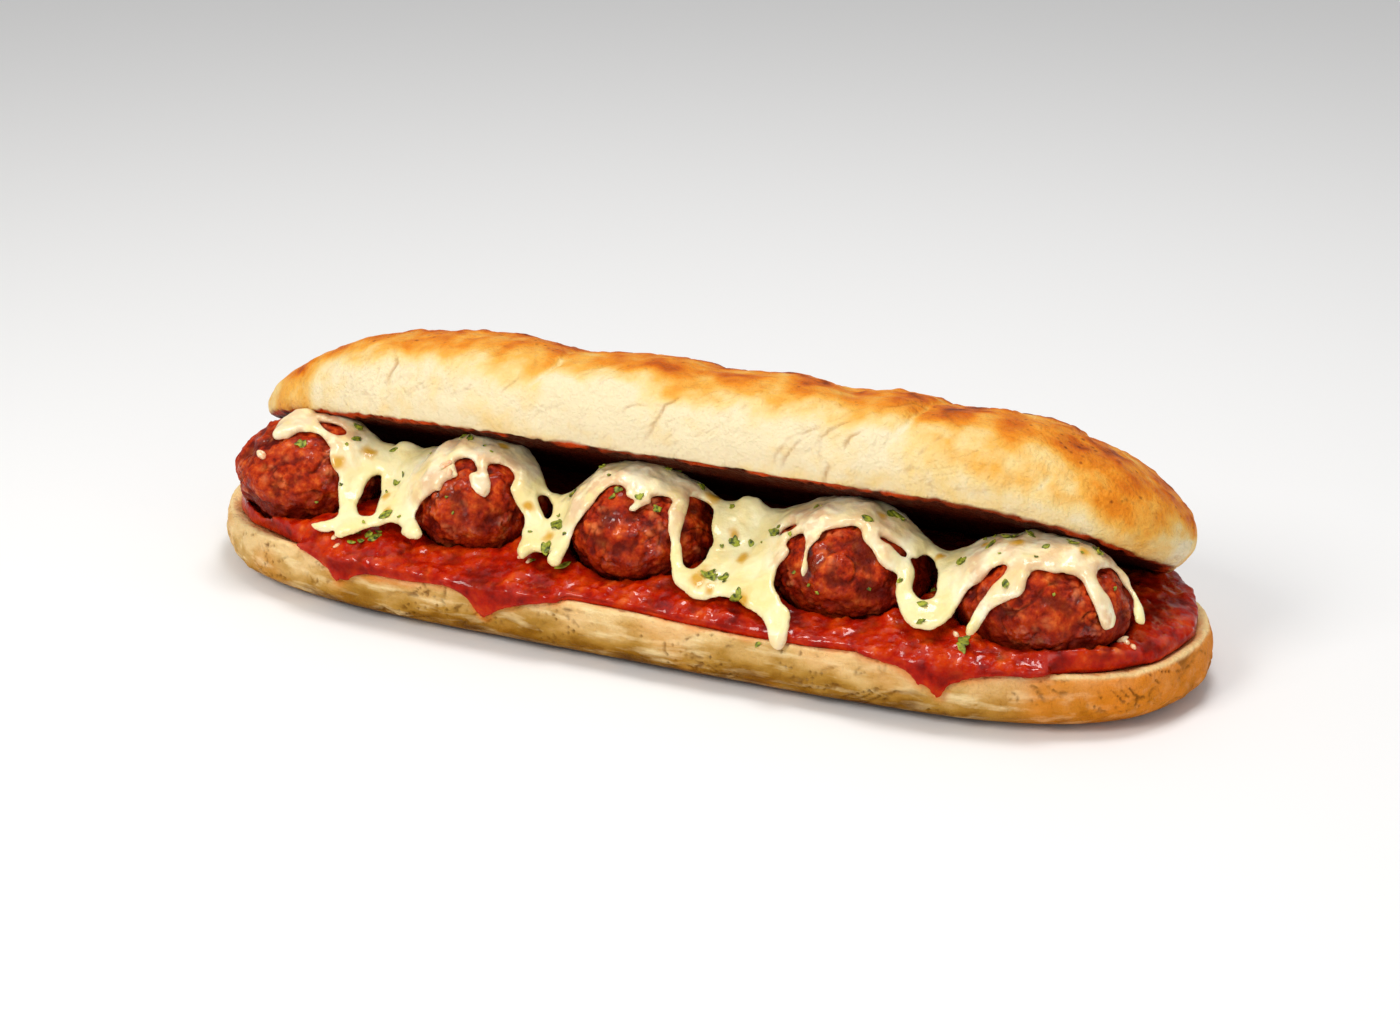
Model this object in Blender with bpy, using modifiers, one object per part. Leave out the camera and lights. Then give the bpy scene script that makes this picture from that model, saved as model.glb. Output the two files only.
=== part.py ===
"""A meatball submarine sandwich at its real size, in metres, lying along X on z = 0.

The long roll is split in two. The lower half carries a bed of tomato sauce with five meatballs
in it. Melted cheese hangs over them with herb flakes on it. The upper half leans back on the
filling, so the front, towards -Y, is open.
"""

import math
import random

import bmesh
import bpy
import numpy as np
from mathutils import Matrix, Vector, noise
from mathutils.bvhtree import BVHTree

MM = 0.001

# Edges that turn by more than this stay sharp when a piece is shaded smooth
SHARP_ANGLE = math.radians(50)

# Clearance kept between two pieces that touch, and the shortest edge left by a cut
GAP = 0.4 * MM
SMALLEST_EDGE = 0.005 * MM

# Triangles that each piece is thinned out to before it is carved
BASE_TRIANGLES = 1300
LID_TRIANGLES = 2200
BALL_TRIANGLES = 380
SAUCE_TRIANGLES = 1000
CHEESE_TRIANGLES = 1700

# Lower half of the roll, whose cut face is dished under the filling
BASE_HALF_LENGTH = 140.8 * MM
BASE_HALF_WIDTH = 46.9 * MM
BASE_SQUARENESS = 5.0
BASE_RIM_HEIGHT = 17 * MM
BASE_RIM_INSET = 1.4 * MM
BASE_WIDEST_HEIGHT = 7.5 * MM
BASE_FOOT_INSET = 12 * MM
BASE_DISH_DEPTH = 8 * MM

# Unevenness of the wall and of the cut face: size and height of the bumps, and a seed
BASE_WALL_BUMPS = (30 * MM, 1.4 * MM, 3)
BASE_TOP_BUMPS = (34 * MM, 1.6 * MM, 8)

# Upper half of the roll: a loaf cut off flat below its widest line, measured square to its cut.
# Its cut comes down by the hinge depth at the back, to meet the lower half.
LID_HALF_LENGTH = 134 * MM
LID_HALF_WIDTH = 38.5 * MM
LID_LEFT_SQUARENESS = 3.2
LID_RIGHT_SQUARENESS = 6.0
LID_ROUNDNESS = 2.25
LID_WIDEST_HEIGHT = 9 * MM
LID_LEFT_TIP_HEIGHT = 3 * MM
LID_RISE = 18.2 * MM
LID_DEPTH = 19 * MM
LID_CUT_HALF_WIDTH = 35.3 * MM
LID_HINGE = Vector((-2.2, 42, 18.3)) * MM
LID_LEAN = math.radians(27.3)
LID_HINGE_DEPTH = 5 * MM
LID_RIGHT_DROOP = 3.5 * MM
LID_LEFT_DROOP = 3 * MM
LID_RIGHT_TWIST = math.radians(6)
LID_LEFT_TWIST = math.radians(2)

# Where the upper half bulges higher: share of its half length, extra height and spread
LID_BULGES = ((-0.72, 0.37, 0.3), (0.8, 0.16, 0.2))

# How much lower than the cut the front lip hangs, from left to right, and how high up it is bent
LID_LIP = (
    (-134 * MM, 0.0),
    (-73 * MM, 1.4 * MM),
    (-14 * MM, 2.3 * MM),
    (41 * MM, 1.9 * MM),
    (68 * MM, 0.3 * MM),
    (87 * MM, -1.0 * MM),
    (106 * MM, -2.6 * MM),
    (119 * MM, -3.6 * MM),
    (134 * MM, -3.2 * MM),
)
LID_LIP_HEIGHT = 14 * MM

# Baker's scores across the crust: place on the ridge, halfway down the front and at the cut edge
SCORES = (
    (-84 * MM, -80 * MM, -88 * MM),
    (-37 * MM, -32 * MM, -42 * MM),
    (5 * MM, 9 * MM, -2 * MM),
    (35 * MM, 53 * MM, 46 * MM),
    (69 * MM, 66 * MM, 60 * MM),
    (103 * MM, 106 * MM, 98 * MM),
)
SCORE_SHOULDER = math.radians(55)
SCORE_END = math.radians(105)

# The lobes between the scores: their height, and how quickly they rise from the cut edge
LOBE_HEIGHT = 1.8 * MM
LOBE_RISE = 1.6

# Meatballs from left to right: middle, then half sizes along X, Y and Z
BALLS = (
    (Vector((-108, -17, 28)) * MM, Vector((20.8, 19.0, 15.5)) * MM),
    (Vector((-54.4, -18, 28.5)) * MM, Vector((18.4, 18.5, 15.5)) * MM),
    (Vector((-6.9, -18, 28)) * MM, Vector((19.7, 19.0, 15.5)) * MM),
    (Vector((51.3, -17, 27)) * MM, Vector((20.7, 19.5, 15.5)) * MM),
    (Vector((101.5, -16, 26)) * MM, Vector((22.6, 20.0, 14.5)) * MM),
)

# Lumps on a meatball of radius one: their size and height
BALL_LUMPS = ((0.8, 0.07), (0.3, 0.03))

# Bed of sauce, which stops short of the back rim
SAUCE_LEFT_LENGTH = 135.5 * MM
SAUCE_RIGHT_LENGTH = 137 * MM
SAUCE_LEFT_SQUARENESS = 4.6
SAUCE_HALF_WIDTH = 45.4 * MM
SAUCE_BACK = 36 * MM
SAUCE_BOTTOM = 7 * MM
SAUCE_EDGE_HEIGHT = 0.7 * MM
SAUCE_PILE_HEIGHT = 7 * MM
SAUCE_GRAIN = 1.2 * MM

# Unevenness of the sauce's top and of its outline: size and height of the bumps, and a seed.
# The calm edge is the share of the top's bumps that is left where the sauce meets the rim.
SAUCE_TOP_BUMPS = (9 * MM, 1.4 * MM, 4)
SAUCE_EDGE_BUMPS = (15 * MM, 0.02, 12)
SAUCE_CALM_EDGE = 0.35

# How far the sauce bulges before it is held to its outline, and how soon its wall turns into its top
SAUCE_FULLNESS = 1.15
SAUCE_SHOULDER = 2.2

# Where the sauce runs over the front rim: places along the roll and heights of its lower edge
SAUCE_RUN_DEPTH = 1.9 * MM
SAUCE_RUN_INSET = 0.5 * MM
SAUCE_RUN_STEP = 1.5 * MM
SAUCE_RUNS = (
    (
        (-97 * MM, 16.4 * MM),
        (-89 * MM, 14.2 * MM),
        (-85 * MM, 10.6 * MM),
        (-79 * MM, 13.4 * MM),
        (-48 * MM, 14.2 * MM),
        (-43 * MM, 12.4 * MM),
        (-39 * MM, 8.6 * MM),
        (-34 * MM, 10.2 * MM),
        (-29 * MM, 13.2 * MM),
        (-18 * MM, 16.2 * MM),
    ),
    (
        (66 * MM, 16.2 * MM),
        (76 * MM, 14.4 * MM),
        (81 * MM, 11.0 * MM),
        (85 * MM, 10.4 * MM),
        (90 * MM, 13.0 * MM),
        (97 * MM, 15.4 * MM),
        (106 * MM, 15.4 * MM),
        (111 * MM, 16.4 * MM),
    ),
)

# Melted cheese, which lies over the filling like a cloth. Steps and outlines are places along the
# roll in millimetres and degrees round a line through the meatballs, 0 to the front and 90 straight up.
DRAPE_ACROSS = -17 * MM
DRAPE_HEIGHT = 20 * MM
DRAPE_OUTSIDE = 70 * MM
DRAPE_LEFT = -130
DRAPE_RIGHT = 135
DRAPE_LOWEST = -24
DRAPE_HIGHEST = 128
DRAPE_STEP = 1.0
DRAPE_TURN = 2.5
DRAPE_ROUNDS = 140
DRAPE_LIFT = 0.6 * MM
CHEESE_GRAIN = 0.9 * MM

# Where the cheese bridges the hollow between two meatballs: place along the roll, degrees round and
# distance from the drape's line, then how far the bridge spreads along the roll and in degrees
CHEESE_BRIDGES = ((-79, 102, 18.5 * MM), (22, 102, 18.5 * MM))
BRIDGE_SPREAD = (12, 24)

# How thick the cheese is, and how much more of it is outside the cloth than inside
CHEESE_THICKNESS = 2.4 * MM
CHEESE_PROUD = 0.35

# Front edge of the cheese from left to right, with its strands, drips and pools
CHEESE_FRONT = (
    # Over the first meatball and down its right side to the sauce
    (-114, 67), (-113, 62), (-110, 62), (-108, 64), (-107, 71), (-105, 73), (-101, 75), (-97, 70),
    (-96, 62), (-94, 53), (-92, 48), (-92, 37), (-88, 15),
    # The pool between the first and second meatballs
    (-89, 10), (-94, 8), (-95, 6), (-93, 4), (-89, 4), (-87, 6), (-86, 2), (-81, 5), (-76, 12),
    (-72, 16), (-70, 16), (-69, 17), (-67, 14), (-67, 11), (-64, 9), (-61, 11), (-60, 14),
    # Up the left side of the second meatball
    (-64, 21), (-65, 25), (-64, 35), (-62, 40), (-60, 44), (-58, 44), (-58, 50), (-57, 53), (-53, 54),
    (-55, 59), (-58, 66), (-56, 70), (-52, 69),
    # The drop that hangs on the second meatball
    (-50, 64), (-49, 60), (-51, 56), (-50, 51), (-48, 46), (-46, 44), (-45, 44), (-44, 48), (-44, 55),
    (-46, 62), (-47, 64),
    # Over its top and down its right side
    (-48, 70), (-46, 74), (-44, 75), (-41, 72), (-41, 63), (-41, 57), (-39, 53), (-37, 46), (-36, 40),
    (-35, 26), (-34, 20),
    # The two drips between the second and third meatballs
    (-34, 12), (-33, 10), (-31, 8), (-30, 10), (-29, 14), (-26, 14), (-23, 15), (-24, 10), (-22, 8),
    (-20, 9), (-20, 14),
    # Up the left side of the third meatball
    (-19, 22), (-19, 29), (-18, 37), (-16, 45), (-14, 54), (-12, 63), (-10, 68),
    # The short tongue on the third meatball
    (-7, 64), (-6, 60), (-3, 58), (-4, 55), (-4, 50), (-2, 51), (-1, 57), (1, 60), (0, 65), (3, 70),
    (5, 70),
    # The strand down its right side
    (5, 62), (6, 55), (6, 48), (7, 41), (8, 27), (9, 18), (11, 11),
    # The pool between the third and fourth meatballs
    (14, 7), (17, 4), (21, 4), (23, 5), (26, 7), (30, 7), (33, 4), (37, 2),
    # The drip that runs over the rim
    (40, -2), (41, -9), (43, -12), (45, -10), (46, -5), (45, 5), (44, 8), (42, 11),
    # Up the left side of the fourth meatball
    (38, 18), (37, 31), (39, 40), (40, 46), (38, 54), (39, 59), (42, 61),
    # The thin drip on the fourth meatball
    (44, 55), (45, 42), (45, 32), (46, 26), (47, 33), (46, 40), (46, 48), (48, 55), (48, 60),
    # Over its top and down the loop at its right side
    (50, 63), (53, 66), (55, 70), (57, 69), (58, 63), (60, 58), (63, 51), (65, 48), (67, 48), (68, 44),
    (68, 30), (70, 21), (72, 14), (74, 10),
    # The foot of the loop, and up to the fifth meatball
    (77, 8), (81, 8), (83, 12), (84, 17), (85, 27), (86, 33), (87, 43), (90, 51), (92, 60), (94, 63),
    # The thin strand on the fifth meatball
    (96, 60), (95, 52), (93, 41), (91, 34), (90, 22), (89, 12), (90, 9), (92, 11), (93, 20), (94, 27),
    (96, 32), (98, 34),
    # Over the top of the fifth meatball
    (100, 38), (102, 43), (102, 57), (103, 61), (106, 62), (110, 66), (113, 68),
    # The wide drip on it
    (115, 62), (117, 51), (119, 41), (120, 32), (121, 27), (123, 35), (123, 49), (121, 62), (119, 68),
    (117, 72),
    # The strand at its right end
    (116, 78), (116, 88), (118, 101), (120, 110), (124, 108), (125, 90), (126, 67), (127, 57),
    (129, 64), (128, 80), (126, 104),
)

# Back edge of the cheese under the lid, from right to left
CHEESE_BACK = (
    # Behind the fifth and fourth meatballs
    (122, 120), (108, 116), (96, 122), (84, 112), (74, 106), (64, 118), (50, 124), (38, 116),
    # Behind the third meatball
    (30, 113), (18, 114), (8, 112), (0, 120), (-10, 120), (-20, 106),
    # The dip between the third and second meatballs
    (-24, 88), (-28, 76), (-33, 80), (-37, 96),
    # Behind the second and first meatballs
    (-41, 112), (-52, 120), (-64, 118), (-73, 114), (-82, 112), (-90, 114), (-102, 116), (-109, 106),
    (-113, 92), (-115, 78),
)

# Bare spots inside the cheese
CHEESE_WINDOWS = (
    # On top of the first meatball
    (
        (-105, 89), (-102, 92), (-99, 93), (-96, 93), (-97, 83), (-100, 82),
    ),
    # Between the first and second meatballs
    (
        (-85, 24), (-86, 44), (-86, 58), (-85, 67), (-83, 74), (-82, 60), (-81, 40), (-79, 23),
        (-78, 18), (-80, 16), (-83, 17),
    ),
    # On the right side of the second meatball
    (
        (-35, 68), (-33, 75), (-30, 65), (-29, 54), (-29, 45), (-31, 47), (-33, 58),
    ),
    # On the right side of the third meatball
    (
        (10, 36), (9, 46), (9, 65), (8, 76), (7, 88), (10, 94), (13, 92), (14, 82), (14, 72), (16, 58),
        (15, 41), (16, 27), (15, 20), (13, 20), (11, 27),
    ),
    # At the left of the fourth meatball
    (
        (34, 64), (35, 76), (38, 74), (40, 66), (38, 64),
    ),
    # On top of the fourth meatball
    (
        (61, 70), (63, 73), (65, 74), (68, 71), (68, 67), (66, 66), (63, 67),
    ),
    # Inside the loop at its right
    (
        (69, 68), (71, 73), (71, 80), (72, 86), (74, 83), (76, 69), (77, 53), (78, 37), (78, 29),
        (76, 25), (74, 29), (72, 36), (72, 50), (71, 61),
    ),
)

# Herb flakes: how many lie on the side of the cheese that faces forwards and up, how far apart,
# how far from what the cheese lies on, their half sizes and their tilt in radians
HERB_FLAKES = 30
HERB_SEED = 7
HERB_SPACING = 5 * MM
HERB_CLEARANCE = 1.6 * MM
HERB_SIZE = Vector((1.3, 0.75, 0.4)) * MM
HERB_TILT = 0.3
HERB_SIDE = Vector((0, -0.5, 0.87))
HERB_FACING = 0.55


def clear_scene():
    """Remove every object of the scene."""
    for item in list(bpy.data.objects):
        bpy.data.objects.remove(item, do_unlink=True)


def material(name, colour, roughness):
    """A plain Principled material."""
    finish = bpy.data.materials.new(name)
    finish.use_nodes = True
    shader = finish.node_tree.nodes["Principled BSDF"]
    shader.inputs["Base Color"].default_value = (*colour, 1.0)
    shader.inputs["Roughness"].default_value = roughness
    shader.inputs["Metallic"].default_value = 0.0
    return finish


def relief(point, size, height, seed):
    """Smooth random height at a point, with bumps of the given size."""
    return height * noise.noise(point / size + Vector((seed, -seed, 0.5 * seed)))


def plan_outline(angle, half_length, half_width, squareness):
    """Point of a loaf's outline seen from above, with straight sides and blunt rounded ends."""
    along = math.cos(angle)
    across = math.sqrt(max(0.0, 1.0 - abs(along) ** squareness))
    return Vector((along * half_length, math.copysign(across, math.sin(angle)) * half_width, 0))


def add_object(name, bm, collection):
    """Turn a bmesh into an object."""
    bmesh.ops.recalc_face_normals(bm, faces=bm.faces)
    mesh = bpy.data.meshes.new(name)
    bm.to_mesh(mesh)
    bm.free()
    item = bpy.data.objects.new(name, mesh)
    collection.objects.link(item)
    return item


def apply_modifiers(item):
    """Replace an object's mesh with what its modifiers make of it."""
    graph = bpy.context.evaluated_depsgraph_get()
    made = bpy.data.meshes.new_from_object(item.evaluated_get(graph))
    item.modifiers.clear()
    old = item.data
    item.data = made
    bpy.data.meshes.remove(old)


def thin_out(item, triangles):
    """Decimate a mesh to about the given number of triangles."""
    item.data.update()
    count = sum(len(face.vertices) - 2 for face in item.data.polygons)
    if count > triangles:
        decimate = item.modifiers.new("thin out", "DECIMATE")
        decimate.ratio = triangles / count
        decimate.use_collapse_triangulate = True
        apply_modifiers(item)


def melt_together(item, grain, rounds):
    """Fuse overlapping blobs into one smooth skin."""
    remesh = item.modifiers.new("fuse", "REMESH")
    remesh.mode = "VOXEL"
    remesh.voxel_size = grain
    smooth = item.modifiers.new("smooth", "SMOOTH")
    smooth.factor = 0.5
    smooth.iterations = rounds
    apply_modifiers(item)


def swollen_copy(item, cutters):
    """A copy of a piece, a clearance larger all round, for cutting its neighbours."""
    cutter = bpy.data.objects.new(f"room for {item.name}", item.data.copy())
    cutters.objects.link(cutter)
    cutter.hide_render = True
    cutter.display_type = "WIRE"
    displace = cutter.modifiers.new("swell", "DISPLACE")
    displace.mid_level = 0.0
    displace.strength = GAP
    apply_modifiers(cutter)
    return cutter


def carve(item, cutter):
    """Cut one piece's room out of another."""
    boolean = item.modifiers.new("carve", "BOOLEAN")
    boolean.operation = "DIFFERENCE"
    boolean.solver = "EXACT"
    boolean.object = cutter
    apply_modifiers(item)


def keep_largest(item):
    """Drop the loose scraps that carving leaves."""
    bm = bmesh.new()
    bm.from_mesh(item.data)
    bmesh.ops.dissolve_degenerate(bm, edges=bm.edges, dist=SMALLEST_EDGE)
    bmesh.ops.triangulate(bm, faces=bm.faces)
    pieces = []
    unseen = set(bm.faces)
    while unseen:
        front = [unseen.pop()]
        piece = list(front)
        while front:
            for edge in front.pop().edges:
                for face in edge.link_faces:
                    if face in unseen:
                        unseen.remove(face)
                        front.append(face)
                        piece.append(face)
        pieces.append(piece)
    pieces.sort(key=len)
    for piece in pieces[:-1]:
        bmesh.ops.delete(bm, geom=piece, context="FACES")
    bm.to_mesh(item.data)
    bm.free()


def base_profile(part):
    """Inset fraction, outward offset and height at a part of the way round the base's section.

    The way runs from the middle of the cut face over the rim, down the wall and under to the
    middle of the underside.
    """
    rim, widest, foot = 0.35, 0.6, 0.85
    if part < rim:
        reach = part / rim
        return reach, -BASE_RIM_INSET * reach, BASE_RIM_HEIGHT - BASE_DISH_DEPTH * (1 - reach ** 3)
    if part < widest:
        down = (part - rim) / (widest - rim)
        height = BASE_RIM_HEIGHT + (BASE_WIDEST_HEIGHT - BASE_RIM_HEIGHT) * down
        return 1.0, -BASE_RIM_INSET * (1 - down) ** 2, height
    if part < foot:
        turn = (part - widest) / (foot - widest) * math.pi / 2
        return 1.0, -BASE_FOOT_INSET * (1 - math.cos(turn)), BASE_WIDEST_HEIGHT * (1 - math.sin(turn))
    return (1 - part) / (1 - foot), -BASE_FOOT_INSET, 0.0


def make_base(collection):
    """The lower half of the roll."""
    bm = bmesh.new()
    bmesh.ops.create_uvsphere(bm, u_segments=180, v_segments=60, radius=1.0)
    core = BASE_HALF_LENGTH - BASE_HALF_WIDTH
    for vert in bm.verts:
        angle = math.atan2(vert.co.y, vert.co.x)
        inset, offset, height = base_profile(math.acos(max(-1.0, min(1.0, vert.co.z))) / math.pi)
        edge = plan_outline(angle, BASE_HALF_LENGTH, BASE_HALF_WIDTH, BASE_SQUARENESS)
        middle = Vector((max(-core, min(core, edge.x)), 0, 0))
        outward = (edge - middle).normalized()
        place = middle + (edge + outward * offset - middle) * inset
        place.z = height
        share = height / BASE_RIM_HEIGHT
        place += outward * relief(place, *BASE_WALL_BUMPS) * min(1.0, 2 * share) * inset
        place.z += relief(place, *BASE_TOP_BUMPS) * share * inset ** 3
        vert.co = place
    return add_object("bread_base", bm, collection)


def signed_power(value, power):
    """A power that keeps the sign of its base."""
    return math.copysign(abs(value) ** power, value)


def score_line(score, down):
    """Where a score lies along the roll, at an angle down from the ridge to the front."""
    ridge, shoulder, edge = score
    if down < SCORE_SHOULDER:
        return ridge + (shoulder - ridge) * down / SCORE_SHOULDER
    return shoulder + (edge - shoulder) * (down - SCORE_SHOULDER) / (SCORE_END - SCORE_SHOULDER)


def crust_swell(along, down):
    """Height that the lobes between the scores add, at an angle down from the ridge to the front."""
    lines = [score_line(score, down) for score in SCORES]
    fade = max(0.0, min(1.0, LOBE_RISE * (1 - down / SCORE_END)))
    for left, right in zip(lines, lines[1:]):
        if left <= along < right:
            share = (along - left) / (right - left)
            return LOBE_HEIGHT * fade * math.sin(math.pi * share ** 1.5)
    return 0.0


def lip_drop(place):
    """How far a point of the upper half hangs lower because of the bent front lip."""
    front = max(0.0, -place.y / LID_HALF_WIDTH)
    low = max(0.0, 1 - place.z / LID_LIP_HEIGHT) ** 2
    return float(np.interp(place.x, *zip(*LID_LIP))) * front * low


def make_lid(collection):
    """The upper half of the roll, leaning back on the filling."""
    bm = bmesh.new()
    bmesh.ops.create_uvsphere(bm, u_segments=120, v_segments=220, radius=1.0)
    for vert in bm.verts:
        along = vert.co.z
        squareness = LID_RIGHT_SQUARENESS if along > 0 else LID_LEFT_SQUARENESS
        end = math.sqrt(max(0.0, 1.0 - abs(along) ** squareness))
        turn = math.atan2(vert.co.y, vert.co.x)
        plump = 1
        for peak, extra, spread in LID_BULGES:
            plump += extra * math.exp(-((along - peak) / spread) ** 2)
        across = signed_power(math.cos(turn), 2 / LID_ROUNDNESS) * LID_HALF_WIDTH * end
        up = signed_power(math.sin(turn), 2 / LID_ROUNDNESS) * end
        up *= LID_RISE * plump if up > 0 else LID_DEPTH
        middle = LID_WIDEST_HEIGHT + (LID_LEFT_TIP_HEIGHT - LID_WIDEST_HEIGHT) * max(0.0, -along) ** 2
        place = Vector((along * LID_HALF_LENGTH, across, middle + up))
        down = math.atan2(-math.cos(turn), math.sin(turn))
        outward = Vector((0, math.cos(turn), math.sin(turn)))
        vert.co = place + outward * crust_swell(place.x, down) * end
    geometry = list(bm.verts) + list(bm.edges) + list(bm.faces)
    bmesh.ops.bisect_plane(bm, geom=geometry, plane_co=(0, 0, 0), plane_no=(0, 0, 1), clear_inner=True)
    for vert in bm.verts:
        if vert.is_boundary and vert.co.y > 0:
            vert.co.z -= LID_HINGE_DEPTH * vert.co.y / LID_HALF_WIDTH
        vert.co.z -= lip_drop(vert.co)
    bmesh.ops.holes_fill(bm, edges=[edge for edge in bm.edges if edge.is_boundary])
    for vert in bm.verts:
        place = vert.co - Vector((0, LID_CUT_HALF_WIDTH, 0))
        share = place.x / LID_HALF_LENGTH
        twist, droop = LID_LEFT_TWIST, LID_LEFT_DROOP
        if share > 0:
            twist, droop = LID_RIGHT_TWIST, LID_RIGHT_DROOP
        end = abs(share) ** 3
        place = Matrix.Rotation(twist * end - LID_LEAN, 3, "X") @ place
        vert.co = LID_HINGE + place - Vector((0, 0, droop * end))
    return add_object("bread_lid", bm, collection)


def make_meatball(index, collection):
    """One uneven meatball."""
    middle, half = BALLS[index]
    bm = bmesh.new()
    bmesh.ops.create_icosphere(bm, subdivisions=5, radius=1.0)
    for vert in bm.verts:
        way = vert.co.normalized()
        swell = 1 + sum(relief(way, size, height, 5 + index) for size, height in BALL_LUMPS)
        vert.co = middle + Vector((way.x * half.x, way.y * half.y, way.z * half.z)) * swell
    return add_object(f"meatball_{index + 1}", bm, collection)


def sauce_level(place):
    """Height of the sauce over a point of the cut face: just over the rim, and piled up inside."""
    edge = abs(place.y) / BASE_HALF_WIDTH
    end = abs(place.x) / BASE_HALF_LENGTH
    fill = max(0.0, 1 - max(edge, end ** 2.5) ** 3)
    bumps = relief(place, *SAUCE_TOP_BUMPS) * (SAUCE_CALM_EDGE + (1 - SAUCE_CALM_EDGE) * fill)
    rim = BASE_RIM_HEIGHT + relief(place, *BASE_TOP_BUMPS)
    return rim + SAUCE_EDGE_HEIGHT + SAUCE_PILE_HEIGHT * fill + bumps


def add_blob(bm, place, size):
    """Add a ball stretched to the given half sizes."""
    matrix = Matrix.Translation(place) @ Matrix.Diagonal((*size, 1.0))
    bmesh.ops.create_icosphere(bm, subdivisions=2, radius=1.0, matrix=matrix)


def wall_depth(along):
    """Where the base's front wall lies across the roll."""
    return -BASE_HALF_WIDTH * math.sqrt(max(0.0, 1 - abs(along / BASE_HALF_LENGTH) ** BASE_SQUARENESS))


def make_sauce(collection):
    """The bed of sauce on the base's cut face, with drips over the front rim."""
    bm = bmesh.new()
    bmesh.ops.create_uvsphere(bm, u_segments=160, v_segments=40, radius=1.0)
    for vert in bm.verts:
        angle = math.atan2(vert.co.y, vert.co.x)
        half_length, squareness = SAUCE_RIGHT_LENGTH, BASE_SQUARENESS
        if vert.co.x < 0:
            half_length, squareness = SAUCE_LEFT_LENGTH, SAUCE_LEFT_SQUARENESS
        edge = plan_outline(angle, half_length, SAUCE_HALF_WIDTH, squareness)
        edge *= 1 + relief(edge, *SAUCE_EDGE_BUMPS)
        edge.y = min(edge.y, SAUCE_BACK)
        reach = math.sqrt(vert.co.x ** 2 + vert.co.y ** 2)
        spread = min(1.0, SAUCE_FULLNESS * reach)
        place = edge * spread
        level = sauce_level(place)
        if vert.co.z < 0:
            place.z = SAUCE_BOTTOM
        else:
            place.z = SAUCE_BOTTOM + (level - SAUCE_BOTTOM) * min(1.0, SAUCE_SHOULDER * vert.co.z) ** 0.5
        vert.co = place
    stretches = [stretch for run in SAUCE_RUNS for stretch in zip(run, run[1:])]
    for (start, start_edge), (end, end_edge) in stretches:
        count = math.ceil((end - start) / SAUCE_RUN_STEP)
        for step in range(count):
            along = start + (end - start) * step / count
            low = start_edge + (end_edge - start_edge) * step / count
            half_height = (BASE_RIM_HEIGHT + SAUCE_RUN_DEPTH - low) / 2
            place = Vector((along, wall_depth(along) + SAUCE_RUN_INSET, low + half_height))
            add_blob(bm, place, (2 * SAUCE_RUN_STEP, SAUCE_RUN_DEPTH, half_height))
    return add_object("tomato_sauce", bm, collection)


def drape_place(along, turn, reach):
    """Place at a distance from the drape's line, at an angle up from the front."""
    return Vector((along, DRAPE_ACROSS - reach * math.cos(turn), DRAPE_HEIGHT + reach * math.sin(turn)))


def outside_reach(tree, along, turn):
    """How far the filling reaches from the drape's line, met from outside."""
    start = drape_place(along, turn, DRAPE_OUTSIDE)
    inward = drape_place(along, turn, 0) - start
    away = tree.ray_cast(start, inward.normalized(), DRAPE_OUTSIDE)[3]
    return 0.0 if away is None else DRAPE_OUTSIDE - away


def bridge_reach(along, turn):
    """How far the cheese's bridges reach from the drape's line, in a smooth hump round each."""
    humps = [0.0]
    for middle, middle_turn, reach in CHEESE_BRIDGES:
        away = math.hypot((along - middle) / BRIDGE_SPREAD[0], (turn - middle_turn) / BRIDGE_SPREAD[1])
        humps.append(reach * math.exp(-away ** 2))
    return max(humps)


def sag(reach):
    """Let a cloth sink on to what is under it."""
    cloth = reach
    for _ in range(DRAPE_ROUNDS):
        wide = np.pad(cloth, 1, mode="edge")
        mean = (wide[:-2, 1:-1] + wide[2:, 1:-1] + wide[1:-1, :-2] + wide[1:-1, 2:]) / 4
        cloth = np.maximum(reach, mean)
    return cloth


def within(outline, along, turn):
    """Whether a place lies inside a closed outline."""
    found = False
    for (start, start_turn), (end, end_turn) in zip(outline, outline[1:] + outline[:1]):
        if (start_turn > turn) != (end_turn > turn):
            crossing = start + (turn - start_turn) * (end - start) / (end_turn - start_turn)
            found ^= along < crossing
    return found


def covered(along, turn):
    """Whether the cheese covers a place on the drape."""
    if not within(CHEESE_FRONT + CHEESE_BACK, along, turn):
        return False
    return not any(within(window, along, turn) for window in CHEESE_WINDOWS)


def make_cheese(filling, collection):
    """The melted cheese, one blanket draped over the filling."""
    tree = faces_tree(filling)
    alongs = np.arange(DRAPE_LEFT, DRAPE_RIGHT, DRAPE_STEP)
    turns = np.arange(DRAPE_LOWEST, DRAPE_HIGHEST, DRAPE_TURN)
    reach = [[outside_reach(tree, along * MM, math.radians(turn)) for turn in turns] for along in alongs]
    bridges = [[bridge_reach(along, turn) for turn in turns] for along in alongs]
    cloth = sag(np.maximum(np.array(reach) + DRAPE_LIFT, bridges))
    bm = bmesh.new()
    made = bmesh.ops.create_grid(bm, x_segments=len(turns) - 1, y_segments=len(alongs) - 1, size=1.0)
    places = {}
    for index, vert in enumerate(made["verts"]):
        row, column = divmod(index, len(turns))
        places[vert] = (alongs[row], turns[column])
        vert.co = drape_place(alongs[row] * MM, math.radians(turns[column]), cloth[row, column])
    bare = []
    for face in bm.faces:
        along, turn = np.mean([places[vert] for vert in face.verts], axis=0)
        if not covered(along, turn):
            bare.append(face)
    bmesh.ops.delete(bm, geom=bare, context="FACES")
    cheese = add_object("melted_cheese", bm, collection)
    if sum(face.normal.dot(HERB_SIDE) for face in cheese.data.polygons) < 0:
        cheese.data.flip_normals()
    thicken = cheese.modifiers.new("thicken", "SOLIDIFY")
    thicken.thickness = CHEESE_THICKNESS
    thicken.offset = CHEESE_PROUD
    apply_modifiers(cheese)
    return cheese


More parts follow.
